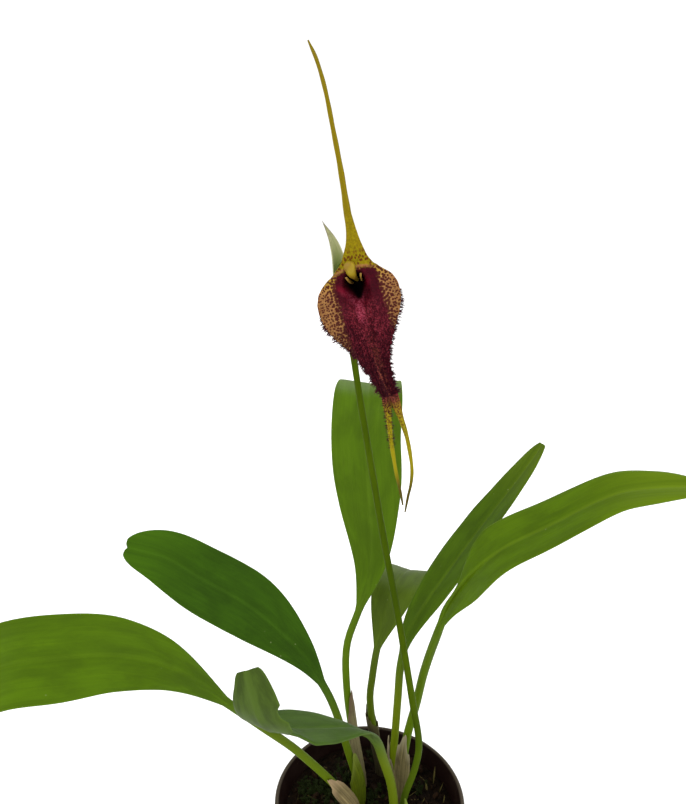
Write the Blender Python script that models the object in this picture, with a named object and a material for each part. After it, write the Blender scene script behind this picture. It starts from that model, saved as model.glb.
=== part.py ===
"""Masdevallia orchid in a small round pot.

Built in metres, +Z up. The origin is the centre of the pot's base and the
bloom faces -Y. Lengths below are in millimetres and are scaled by MM.
"""
import math

import bmesh
import bpy
from mathutils import Matrix, Vector
from mathutils.noise import noise

MM = 0.001

# Pot and growing medium
POT_RIM_RADIUS = 32.9
POT_HEIGHT = 60.0
POT_BASE_RADIUS = 22.5
POT_WALL = 1.2
POT_FLOOR = 1.6
DRAIN_RADIUS = 2.4
DRAIN_CIRCLE = 13.5
DRAIN_COUNT = 6
GAP = 0.3
MEDIUM_EDGE_Z = 52.6
MEDIUM_CROWN = 2.2
HOLE_FLOOR_Z = 43.0

# Stems and leaves
STALK_FOOT_Z = 43.6
SHEATH_WALL = 0.6
LEAF_EDGE = 0.36
LEAF_MID = 0.6

# Bloom: local frame at the throat, x right, y towards the upper tail, z out
THROAT = Vector((-5.9, -25.0, 243.1))
BLOOM_UP = Vector((-0.279, 0.109, 0.954)).normalized()
BLOOM_OUT = Vector((-0.12, -0.97, 0.2))
SEPAL_THICKNESS = 0.75
TUBE_DEPTH = 9.0
TUBE_HALF_WIDTH = 3.5
TUBE_HALF_HEIGHT = 3.9
TUBE_CENTRE_Y = 1.0
SPIKE_HEIGHT = 0.9
TAIL_ROWS = 9


def clear_scene():
    for item in list(bpy.data.objects):
        bpy.data.objects.remove(item, do_unlink=True)


def lerp(a, b, t):
    return a + (b - a) * t


def smooth(t):
    t = min(1.0, max(0.0, t))
    return t * t * (3.0 - 2.0 * t)


def table(pairs, x):
    """Value at x of a smooth curve through (x, value) pairs."""
    if x <= pairs[0][0]:
        return pairs[0][1]
    if x >= pairs[-1][0]:
        return pairs[-1][1]
    n = len(pairs)
    slopes = []
    for i in range(n):
        a = pairs[max(0, i - 1)]
        b = pairs[min(n - 1, i + 1)]
        slopes.append((b[1] - a[1]) * (1.0 / (b[0] - a[0])))
    i = 0
    while x > pairs[i + 1][0]:
        i += 1
    h = pairs[i + 1][0] - pairs[i][0]
    t = (x - pairs[i][0]) / h
    t2 = t * t
    t3 = t2 * t
    value = pairs[i][1] * (2 * t3 - 3 * t2 + 1)
    value += slopes[i] * ((t3 - 2 * t2 + t) * h)
    value += pairs[i + 1][1] * (3 * t2 - 2 * t3)
    value += slopes[i + 1] * ((t3 - t2) * h)
    return value


class Spine:
    """Smooth curve through points, read by its fraction of arc length."""

    def __init__(self, points):
        points = [Vector(p) for p in points]
        knots = [0.0]
        for a, b in zip(points, points[1:]):
            knots.append(knots[-1] + (b - a).length)
        pairs = list(zip(knots, points))
        self.samples = [table(pairs, knots[-1] * i / 240.0) for i in range(241)]
        self.lengths = [0.0]
        for a, b in zip(self.samples, self.samples[1:]):
            self.lengths.append(self.lengths[-1] + (b - a).length)
        self.total = self.lengths[-1]

    def at(self, s):
        target = s * self.total
        if s <= 0.0:
            return self.samples[0] + (self.samples[1] - self.samples[0]).normalized() * target
        if s >= 1.0:
            end = (self.samples[-1] - self.samples[-2]).normalized()
            return self.samples[-1] + end * (target - self.total)
        low, high = 0, len(self.lengths) - 1
        while high - low > 1:
            mid = (low + high) // 2
            if self.lengths[mid] <= target:
                low = mid
            else:
                high = mid
        span = self.lengths[high] - self.lengths[low]
        return self.samples[low].lerp(self.samples[high], (target - self.lengths[low]) / span)

    def tangent(self, s):
        return (self.at(s + 0.012) - self.at(s - 0.012)).normalized()

    def near(self, point):
        point = Vector(point)
        best = min(range(241), key=lambda i: (self.samples[i] - point).length)
        return self.lengths[best] / self.total

    def frame(self, s, faces):
        """Tangent, side and face directions; faces are (fraction, vector) hints."""
        tangent = self.tangent(s)
        face = table([(f, Vector(v)) for f, v in faces], s)
        face = (face - tangent * face.dot(tangent)).normalized()
        return tangent, tangent.cross(face), face


def make_object(name, verts, faces, colour, roughness, metallic=0.0):
    mesh = bpy.data.meshes.new(name)
    mesh.from_pydata([Vector(v) * MM for v in verts], [], faces)
    bm = bmesh.new()
    bm.from_mesh(mesh)
    bmesh.ops.recalc_face_normals(bm, faces=bm.faces)
    if bm.calc_volume(signed=True) < 0.0:
        bmesh.ops.reverse_faces(bm, faces=bm.faces)
    bm.to_mesh(mesh)
    bm.free()
    mesh.shade_smooth()
    mesh.set_sharp_from_angle(angle=math.radians(50))
    body = bpy.data.objects.new(name, mesh)
    bpy.context.scene.collection.objects.link(body)
    material = bpy.data.materials.new(name)
    material.use_nodes = True
    shader = material.node_tree.nodes["Principled BSDF"]
    shader.inputs["Base Color"].default_value = (*colour, 1.0)
    shader.inputs["Roughness"].default_value = roughness
    shader.inputs["Metallic"].default_value = metallic
    mesh.materials.append(material)
    return body


def bridge(faces, first, second, count):
    """Quads between two rings of count points that start at first and second."""
    for i in range(count):
        j = (i + 1) % count
        faces.append((first + i, first + j, second + j, second + i))


def lathe(profile, segments):
    """Closed solid turned about Z; the profile runs from axis to axis."""
    verts = [(0.0, 0.0, profile[0][1])]
    faces = []
    for radius, z in profile[1:-1]:
        for k in range(segments):
            angle = 2 * math.pi * k / segments
            verts.append((radius * math.cos(angle), radius * math.sin(angle), z))
    verts.append((0.0, 0.0, profile[-1][1]))
    rings = len(profile) - 2
    for k in range(segments):
        faces.append((0, 1 + k, 1 + (k + 1) % segments))
        last = 1 + (rings - 1) * segments
        faces.append((len(verts) - 1, last + (k + 1) % segments, last + k))
    for ring in range(rings - 1):
        bridge(faces, 1 + ring * segments, 1 + (ring + 1) * segments, segments)
    return verts, faces


def cut(body, cutters):
    """Subtract the cutters from the body and remove them."""
    for cutter in cutters:
        cutter.hide_render = True
        cutter.display_type = "WIRE"
        step = body.modifiers.new("hole", "BOOLEAN")
        step.operation = "DIFFERENCE"
        step.object = cutter
    graph = bpy.context.evaluated_depsgraph_get()
    cut_mesh = bpy.data.meshes.new_from_object(body.evaluated_get(graph))
    body.modifiers.clear()
    body.data = cut_mesh
    for cutter in cutters:
        bpy.data.objects.remove(cutter, do_unlink=True)


def cylinder(name, x, y, radius, low, high, segments):
    verts, faces = lathe([(0, low), (radius, low), (radius, high), (0, high)], segments)
    verts = [(vx + x, vy + y, vz) for vx, vy, vz in verts]
    return make_object(name, verts, faces, (0.1, 0.1, 0.1), 0.5)


def inner_radius(z):
    """Inner wall of the pot at height z."""
    return lerp(POT_BASE_RADIUS - POT_WALL, POT_RIM_RADIUS - 1.7, z / POT_HEIGHT)


def build_pot():
    top = POT_HEIGHT
    profile = [
        (0, 0),
        (POT_BASE_RADIUS - 1.0, 0),
        (POT_BASE_RADIUS, 1.0),
        (inner_radius(50.5) + POT_WALL, 50.5),
        (POT_RIM_RADIUS - 0.9, 51.5),
        (POT_RIM_RADIUS - 0.2, 58.2),
        (POT_RIM_RADIUS, 59.0),
        (POT_RIM_RADIUS - 0.3, 59.7),
        (POT_RIM_RADIUS - 0.9, top),
        (POT_RIM_RADIUS - 1.5, 59.7),
        (inner_radius(58.8), 58.8),
        (inner_radius(POT_FLOOR + 1.0), POT_FLOOR + 1.0),
        (inner_radius(POT_FLOOR) - 1.0, POT_FLOOR),
        (0, POT_FLOOR),
    ]
    verts, faces = lathe(profile, 46)
    pot = make_object("pot", verts, faces, (0.02, 0.013, 0.01), 0.3)
    drains = []
    for k in range(DRAIN_COUNT):
        angle = 2 * math.pi * (k + 0.5) / DRAIN_COUNT
        x = DRAIN_CIRCLE * math.cos(angle)
        y = DRAIN_CIRCLE * math.sin(angle)
        drains.append(cylinder("drain", x, y, DRAIN_RADIUS, -2.0, POT_FLOOR + 2.0, 16))
    cut(pot, drains)
    return pot


def medium_height(x, y):
    """Lumpy top of the growing medium, a little higher in the middle."""
    r = math.hypot(x, y) / 30.0
    rough = noise(Vector((x * 0.16, y * 0.16, 3.1))) * 1.3
    rough += noise(Vector((x * 0.42, y * 0.42, 7.7))) * 0.7
    return MEDIUM_EDGE_Z + MEDIUM_CROWN * (1.0 - r * r) + rough * smooth((1.0 - r) * 6.0)


def build_medium(holes):
    segments = 44
    rings = 10
    low = POT_FLOOR + GAP
    verts = [(0.0, 0.0, medium_height(0.0, 0.0))]
    faces = []
    edge = inner_radius(MEDIUM_EDGE_Z) - GAP
    for ring in range(1, rings + 1):
        radius = edge * (ring / rings) ** 0.9
        for k in range(segments):
            angle = 2 * math.pi * (k + 0.5 * (ring % 2)) / segments
            x = radius * math.cos(angle)
            y = radius * math.sin(angle)
            z = MEDIUM_EDGE_Z if ring == rings else medium_height(x, y)
            verts.append((x, y, z))
    for radius, z in ((inner_radius(low) - 1.4, low + 0.7), (inner_radius(low) - 2.2, low)):
        for k in range(segments):
            angle = 2 * math.pi * (k + 0.5 * (rings % 2)) / segments
            verts.append((radius * math.cos(angle), radius * math.sin(angle), z))
    verts.append((0.0, 0.0, low))
    for k in range(segments):
        faces.append((0, 1 + k, 1 + (k + 1) % segments))
        last = 1 + (rings + 1) * segments
        faces.append((len(verts) - 1, last + (k + 1) % segments, last + k))
    for ring in range(rings + 1):
        bridge(faces, 1 + ring * segments, 1 + (ring + 1) * segments, segments)
    medium = make_object("potting_medium", verts, faces, (0.03, 0.018, 0.01), 0.9)
    cutters = [
        cylinder("hole", x, y, radius, HOLE_FLOOR_Z, 70.0, 20) for x, y, radius in holes
    ]
    cut(medium, cutters)
    return medium


def blade_profile(t, widest, tip_width, power, rise_power):
    """Half width of a blade from its base (0) to its rounded tip (1), largest 1."""
    if t <= 0.0:
        return 0.0
    rise = smooth(min(1.0, t / widest)) ** rise_power
    if t <= widest:
        return rise
    fall = (t - widest) / (1.0 - widest)
    return lerp(tip_width, 1.0, math.sqrt(max(0.0, 1.0 - fall ** power)))


LEAVES = {
    "leaf_left_long": {
        "foot": (-5.2, -6.5),
        "stalk_path": [(-5.4, -6.7, 57.0), (-8.8, -8.5, 67.4), (-22.9, -15.0, 93.8), (-33.6, -22.0, 111.5)],
        "blade_path": [
            (-39.7, -27.0, 122.2), (-53.7, -38.0, 145.8), (-65.3, -46.0, 156.4), (-76.5, -52.0, 160.4),
            (-88.4, -57.0, 162.0), (-101.8, -60.0, 156.3), (-114.1, -60.0, 146.7),
        ],
        "faces": [(0.0, (0.5, -0.3, 0.8)), (0.4, (0.5, -0.5, 0.7)), (0.62, (0.25, -0.65, 0.72)), (1.0, (0.0, -0.65, 0.76))],
        "half_width": 10.3, "widest": 0.66, "stalk": 1.3, "fold": 0.12, "wave": 0.05, "waves": 2.2,
        "colour": (0.12, 0.24, 0.01),
    },
    "leaf_left_upper": {
        "foot": (-3.4, 2.6),
        "stalk_path": [(-3.5, 2.6, 57.0), (-4.4, 2.8, 65.0), (-7.1, 3.4, 75.2), (-11.2, 5.0, 90.5)],
        "blade_path": [
            (-14.9, 6.0, 100.1), (-23.4, 8.0, 114.3), (-38.8, 12.0, 128.3), (-55.4, 14.0, 138.5),
            (-67.8, 14.0, 147.2), (-79.6, 12.0, 152.2),
        ],
        "faces": [(0.0, (0.6, -0.5, 0.3)), (0.45, (0.4, -0.75, 0.5)), (0.7, (0.1, -0.78, 0.62)), (1.0, (0.0, -0.7, 0.7))],
        "half_width": 11.0, "widest": 0.56, "stalk": 1.35, "fold": 0.14, "wave": 0.03, "waves": 1.5,
        "colour": (0.03, 0.1, 0.008),
    },
    "leaf_centre_tall": {
        "foot": (-2.4, 9.4),
        "stalk_path": [(-2.6, 9.6, 57.0), (-5.6, 12.0, 75.3), (-7.8, 17.0, 90.8), (-7.8, 22.0, 106.2)],
        "blade_path": [
            (-3.4, 27.0, 119.5), (-0.3, 31.0, 135.4), (-0.1, 34.0, 157.5), (-1.3, 38.0, 178.4),
            (-0.6, 44.0, 190.8), (0.4, 55.0, 193.2), (1.6, 66.0, 189.4), (2.9, 78.0, 180.2),
        ],
        "faces": [
            (0.0, (0.0, -1.0, 0.0)), (0.55, (-0.05, -1.0, 0.1)), (0.72, (0.0, -0.95, 0.3)),
            (0.85, (0.0, -0.2, 1.0)), (1.0, (0.0, 0.6, 0.8)),
        ],
        "half_width": 12.0, "widest": 0.52, "tip_power": 3.4, "stalk": 1.3, "fold": 0.12, "wave": 0.03, "waves": 1.3,
        "colour": (0.06, 0.16, 0.01),
    },
    "leaf_centre_back": {
        "foot": (4.7, 15.0),
        "stalk_path": [(4.6, 15.2, 57.0), (3.0, 18.0, 64.8), (0.7, 22.0, 81.9), (1.5, 24.0, 90.6)],
        "blade_path": [
            (3.0, 27.0, 99.5), (5.8, 32.0, 109.0), (9.1, 38.0, 117.2), (12.8, 47.0, 118.4),
            (16.8, 58.0, 114.5), (20.6, 68.0, 107.0), (25.0, 79.0, 96.0),
        ],
        "faces": [
            (0.0, (0.0, -1.0, 0.0)), (0.45, (-0.1, -0.95, 0.2)), (0.62, (-0.05, -0.5, 0.85)),
            (0.75, (0.0, 0.1, 1.0)), (1.0, (0.3, 0.6, 0.8)),
        ],
        "half_width": 8.6, "widest": 0.42, "stalk": 1.3, "fold": 0.14, "wave": 0.03, "waves": 1.2,
        "colour": (0.08, 0.17, 0.03),
    },
    "leaf_right_narrow": {
        "foot": (8.6, 8.6),
        "stalk_path": [(8.6, 8.6, 57.0), (8.5, 8.8, 67.6), (9.1, 9.0, 78.6), (9.8, 10.0, 94.0)],
        "blade_path": [
            (10.6, 11.5, 107.0), (13.6, 14.0, 119.2), (23.2, 20.0, 133.4), (37.1, 28.0, 150.3),
            (49.4, 34.0, 164.3), (59.5, 38.0, 177.2),
        ],
        "faces": [(0.0, (-0.3, -0.9, 0.0)), (0.45, (-0.6, -0.7, 0.25)), (0.65, (-0.75, -0.3, 0.6)), (1.0, (-0.75, -0.2, 0.6))],
        "half_width": 8.2, "widest": 0.5, "stalk": 1.35, "fold": 0.2, "wave": 0.02, "waves": 1.3,
        "colour": (0.07, 0.17, 0.01),
    },
    "leaf_right_long": {
        "foot": (10.6, 1.8),
        "stalk_path": [(10.6, 1.8, 57.0), (11.0, 2.0, 66.0), (12.7, 2.6, 83.9), (15.2, 2.0, 98.0), (17.1, 0.0, 112.8)],
        "blade_path": [
            (19.6, -4.0, 128.4), (23.1, -10.0, 147.3), (31.6, -18.0, 167.5), (46.0, -26.0, 182.6),
            (58.2, -32.0, 193.8), (67.7, -35.0, 196.9), (77.3, -36.0, 197.4),
        ],
        "faces": [(0.0, (0.0, -1.0, 0.0)), (0.45, (-0.55, -0.75, 0.2)), (0.68, (-0.45, -0.4, 0.8)), (1.0, (-0.1, -0.4, 0.9))],
        "half_width": 8.5, "widest": 0.45, "tip_power": 1.7, "rise_power": 1.25, "stalk": 1.4, "fold": 0.18, "wave": 0.05, "waves": 2.0,
        "colour": (0.1, 0.22, 0.01),
    },
    "leaf_front_bitten": {
        "foot": (8.3, -9.6),
        "stalk_path": [(8.3, -9.6, 57.0), (8.0, -9.8, 64.0), (6.6, -10.6, 76.6), (3.6, -14.0, 90.4)],
        "blade_path": [
            (0.6, -18.0, 102.4), (-5.7, -24.0, 112.4), (-15.7, -32.0, 120.4), (-23.4, -40.0, 127.8),
            (-28.3, -45.6, 133.8), (-30.4, -48.0, 140.4), (-31.9, -47.0, 145.9), (-33.5, -44.0, 150.4),
        ],
        "faces": [
            (0.0, (-0.6, 0.8, 0.0)), (0.4, (-0.3, 0.9, 0.3)), (0.55, (0.1, 0.35, 0.95)), (0.75, (0.2, 0.1, 0.97)),
            (0.88, (0.3, 0.8, 0.5)), (1.0, (0.25, 0.9, 0.1)),
        ],
        "half_width": 8.0, "widest": 0.52, "stalk": 1.5, "fold": 0.1, "wave": 0.04, "waves": 2.0,
        "bites": [(0.6, 0.07, 1, 0.5), (0.72, 0.08, -1, 0.6)],
        "colour": (0.06, 0.14, 0.04),
    },
}


def leaf_spine(spec):
    x, y = spec["foot"]
    foot = [(x, y, STALK_FOOT_Z), (x, y, 50.0)]
    return Spine(foot + spec["stalk_path"] + spec["blade_path"])


def leaf_mesh(spec, stalk_rows, blade_rows, half_columns):
    """Leaf as a closed loft: a round stalk that widens into a keeled blade."""
    spine = leaf_spine(spec)
    start = spine.near(spec["blade_path"][0]) - 0.04
    columns = 2 * half_columns + 1
    stations = [start * i / stalk_rows for i in range(stalk_rows)]
    stations += [lerp(start, 1.0, 1.0 - (1.0 - i / blade_rows) ** 1.25) for i in range(blade_rows + 1)]
    verts = []
    faces = []
    for s in stations:
        t = (s - start) / (1.0 - start)
        grow = blade_profile(t, spec["widest"], 0.16, spec.get("tip_power", 2.3), spec.get("rise_power", 0.85))
        blade = smooth(grow * 3.2)
        reach = max(spec["stalk"], spec["half_width"] * grow)
        position = spine.at(s)
        tangent, side, face = spine.frame(s, spec["faces"])
        ring = []
        for layer in (1.0, -1.0):
            for i in range(columns):
                u = -1.0 + 2.0 * i / (columns - 1)
                if layer < 0.0:
                    u = -u
                width = reach
                for centre, span, edge, depth in spec.get("bites", ()):
                    if u * edge > 0.0:
                        notch = max(0.0, 1.0 - ((t - centre) / span) ** 2)
                        width *= 1.0 - depth * math.sqrt(notch)
                round_z = layer * spec["stalk"] * math.sqrt(1.0 - (0.93 * u) ** 2)
                trough = spec["fold"] * width * (abs(u) ** 1.25 - 0.85)
                ripple = math.sin(2 * math.pi * spec["waves"] * t + (1.0 if u > 0 else 2.4))
                trough += spec["wave"] * width * u * u * ripple * 2.0
                rib = max(0.0, 1.0 - abs(u) * reach / 1.3)
                skin = lerp(LEAF_MID, LEAF_EDGE, abs(u) ** 2)
                if layer > 0.0:
                    flat_z = trough + skin - 0.25 * rib
                else:
                    flat_z = trough - skin - 0.55 * rib * (1.0 - t)
                back = 0.9 * (1.0 - u * u) * smooth((t - 0.93) / 0.07)
                point = position + side * (u * width) + face * lerp(round_z, flat_z, blade)
                ring.append(point - tangent * back)
        base = len(verts)
        verts += ring
        if base:
            bridge(faces, base - 2 * columns, base, 2 * columns)
    last = len(verts) - 2 * columns
    for i in range(columns - 1):
        for base in (0, last):
            top_a, top_b = base + i, base + i + 1
            low_a, low_b = base + 2 * columns - 1 - i, base + 2 * columns - 2 - i
            faces.append((top_a, top_b, low_b, low_a))
    return verts, faces


def tube_mesh(spine, stations, radius_at, faces_hint, sides):
    """Closed round stem along a spine."""
    verts = []
    faces = []
    for row, s in enumerate(stations):
        tangent, side, face = spine.frame(s, faces_hint)
        centre = spine.at(s)
        for k in range(sides):
            angle = 2 * math.pi * k / sides
            verts.append(centre + (side * math.cos(angle) + face * math.sin(angle)) * radius_at(s))
        if row:
            bridge(faces, (row - 1) * sides, row * sides, sides)
    verts.append(spine.at(stations[0]))
    verts.append(spine.at(stations[-1]))
    top = (len(stations) - 1) * sides
    for k in range(sides):
        faces.append((len(verts) - 2, (k + 1) % sides, k))
        faces.append((len(verts) - 1, top + k, top + (k + 1) % sides))
    return verts, faces


def sheath_mesh(spine, low, high, spec, rows, sides):
    """Thin papery tube round a stalk; its mouth is cut obliquely to a point."""
    verts = []
    faces = []
    hint = spec["faces"]
    for skin in (SHEATH_WALL, 0.0):
        for row in range(rows + 1):
            v = row / rows
            for k in range(sides):
                angle = 2 * math.pi * k / sides
                turn = 0.5 - 0.5 * math.cos(angle - spec["open_angle"])
                tip = lerp(high, lerp(low, high, spec["mouth"]), turn ** 0.8)
                s = lerp(low, tip, v)
                along = (s - low) / (high - low)
                tangent, side, face = spine.frame(s, hint)
                radius = spec["inner"] + spec["flare"] * along ** 2 + spec["belly"] * math.sin(math.pi * along)
                radius += skin
                ripple = 1.0 + 0.03 * math.sin(3 * angle + 9 * along)
                offset = (side * math.cos(angle) + face * math.sin(angle)) * radius * ripple
                verts.append(spine.at(s) + offset)
    count = (rows + 1) * sides
    for layer in (0, 1):
        for row in range(rows):
            first = layer * count + row * sides
            bridge(faces, first, first + sides, sides)
    bridge(faces, 0, count, sides)
    bridge(faces, rows * sides, count + rows * sides, sides)
    return verts, faces


# Sheaths: the leaf each one wraps, its top height, mouth depth and colour
SHEATHS = {
    "sheath_left_long": ("leaf_left_long", 76.0, 0.55, 2.2, 0.0, (0.42, 0.33, 0.22)),
    "sheath_left_upper": ("leaf_left_upper", 76.0, 0.5, 1.2, 0.7, (0.2, 0.26, 0.05)),
    "sheath_centre_tall": ("leaf_centre_tall", 91.0, 0.45, 5.2, 0.0, (0.25, 0.17, 0.1)),
    "sheath_centre_back": ("leaf_centre_back", 80.0, 0.75, 3.6, 0.0, (0.12, 0.09, 0.05)),
    "sheath_right_narrow": ("leaf_right_narrow", 77.0, 0.45, 3.0, 0.0, (0.38, 0.32, 0.2)),
    "sheath_right_long": ("leaf_right_long", 88.0, 0.6, 4.0, 0.35, (0.4, 0.34, 0.24)),
}
SHEATH_INNER_GAP = 0.5


def height_fraction(spine, z):
    """Fraction of a rising spine at which it reaches height z."""
    s = 0.0
    while spine.at(s).z < z:
        s += 0.002
    return s


FLOWER_STEM = [
    (11.2, -4.2, STALK_FOOT_Z), (11.2, -4.2, 50.0), (11.2, -4.2, 57.0), (11.8, -4.4, 64.6), (14.6, -6.0, 78.0),
    (15.6, -7.0, 89.8), (13.1, -7.0, 106.1), (9.9, -6.0, 122.4), (6.5, -4.0, 139.5), (2.4, -3.0, 161.7),
    (-1.4, -3.0, 186.4), (-4.5, -3.0, 208.2), (-6.4, -3.0, 220.8), (-8.3, -1.2, 232.8), (-10.2, 0.0, 240.4),
    (-9.9, -2.2, 244.4), (-8.0, -6.0, 245.6), (-6.0, -10.5, 244.9),
]
STEM_RADIUS = 1.0
OVARY_RADIUS = 1.45


def bloom_axes():
    out = (BLOOM_OUT - BLOOM_UP * BLOOM_OUT.dot(BLOOM_UP)).normalized()
    return BLOOM_UP.cross(out), BLOOM_UP, out


def bloom_point(x, y, z):
    across, up, out = bloom_axes()
    return THROAT + across * x + up * y + out * z


# Left and right margins of the fused sepals by height in the bloom's frame
MARGIN_LEFT = [
    (-28.0, -1.6), (-26.0, -1.8), (-24.0, -2.2), (-22.0, -2.7), (-20.0, -3.4), (-18.0, -4.0), (-16.0, -5.0),
    (-14.0, -6.1), (-12.0, -7.4), (-10.0, -8.5), (-8.0, -9.2), (-6.0, -9.8), (-4.0, -10.2), (-2.0, -10.2),
    (0.0, -9.7), (2.0, -8.4), (4.0, -5.6), (5.5, -3.5), (7.0, -1.9), (9.0, -0.7), (11.0, 0.4), (14.0, 1.3), (17.5, 1.75),
]
MARGIN_RIGHT = [
    (-28.0, 2.5), (-26.0, 2.3), (-24.0, 2.2), (-22.0, 2.3), (-20.0, 2.6), (-18.0, 3.0), (-16.0, 3.6),
    (-14.0, 4.6), (-12.0, 5.6), (-10.0, 6.8), (-8.0, 7.9), (-6.0, 8.8), (-4.0, 9.5), (-2.0, 9.7),
    (0.0, 9.5), (2.0, 8.4), (4.0, 6.4), (5.5, 5.2), (7.0, 4.5), (9.0, 4.1), (11.0, 3.8), (14.0, 3.6), (17.5, 3.5),
]
# Centre lines of the three tails, from the body outwards
TAIL_TOP = [(-9.7, -22.0, 269.8), (-11.4, -19.0, 278.3), (-13.2, -16.0, 286.8), (-15.2, -12.0, 293.3), (-17.2, -9.0, 297.6)]
TAIL_LEFT = [(2.1, -29.0, 210.7), (2.5, -30.0, 207.2), (3.3, -31.0, 202.3), (4.1, -31.0, 197.9), (5.0, -31.0, 194.1), (5.8, -31.0, 189.9)]
TAIL_RIGHT = [
    (5.2, -28.0, 211.4), (6.5, -27.0, 207.2), (7.6, -26.0, 202.2), (8.3, -26.0, 197.2), (8.1, -26.5, 193.5),
    (7.4, -27.0, 190.1), (6.7, -28.0, 186.3),
]


def throat_depth(x, y):
    """Depth of the sepal tube below the open face."""
    rho = math.hypot((x - 0.2) / TUBE_HALF_WIDTH, (y - TUBE_CENTRE_Y) / TUBE_HALF_HEIGHT)
    return TUBE_DEPTH * (1.0 - smooth((rho - 0.38) / 0.7))


def sepal_front(u, y):
    """Front surface of the fused sepals; u runs -1 to 1 from margin to margin."""
    left = table(MARGIN_LEFT, y)
    right = table(MARGIN_RIGHT, y)
    x = lerp(left, right, 0.5 + 0.5 * u)
    half = 0.5 * (right - left)
    low = smooth((-y - 5.0) / 9.0)
    dish = 0.16 * half * (u * u - 0.25) * (1.0 - low) * smooth((9.0 - y) / 6.0)
    roll = -0.35 * half * low * u * u
    keel = 0.45 * math.exp(-(u / 0.22) ** 2) * smooth((-y - 2.5) / 5.0)
    curl = -1.1 * smooth((abs(u) - 0.72) / 0.28) * smooth((6.0 - abs(y + 2.0)) / 3.0)
    nod = -0.012 * (y + 4.0) ** 2 * smooth((-y - 4.0) / 10.0) * 0.35
    return bloom_point(x, y, dish + roll + keel + curl + nod - throat_depth(x, y))


def tube_floor():
    """Depth below the face of the bottom of the sepal tube."""
    across, up, out = bloom_axes()
    return min((sepal_front(0.02 * i, TUBE_CENTRE_Y) - THROAT).dot(out) for i in range(-8, 9))


def sepal_normal(u, y):
    across = sepal_front(min(1.0, u + 0.02), y) - sepal_front(max(-1.0, u - 0.02), y)
    along = sepal_front(u, y + 0.05) - sepal_front(u, y - 0.05)
    return across.cross(along).normalized()


BODY_ROWS = [
    17.0, 15.4, 13.8, 12.2, 10.8, 9.5, 8.3, 7.3, 6.4, 5.6, 4.8, 4.0, 3.2, 2.3, 1.4, 0.5, -0.4, -1.2,
    -2.0, -2.8, -3.8, -5.0, -6.4, -7.9, -9.4, -11.0, -12.6, -14.2, -15.8, -17.4, -19.0, -20.6, -22.2, -23.8,
    -25.4, -27.0,
]


def column_positions(half_columns):
    return [
        math.copysign(abs(i / half_columns) ** 1.2, i) for i in range(-half_columns, half_columns + 1)
    ]


def round_ring(centre, side, face, radius, us):
    """Ring of front then back points on a round section, matching the body's columns."""
    ring = []
    for layer, columns in ((1.0, us), (-1.0, list(reversed(us)))):
        for u in columns:
            angle = 0.5 * math.pi * u * 0.93
            ring.append(centre + side * (radius * math.sin(angle)) + face * (layer * radius * math.cos(angle)))
    return ring


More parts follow.
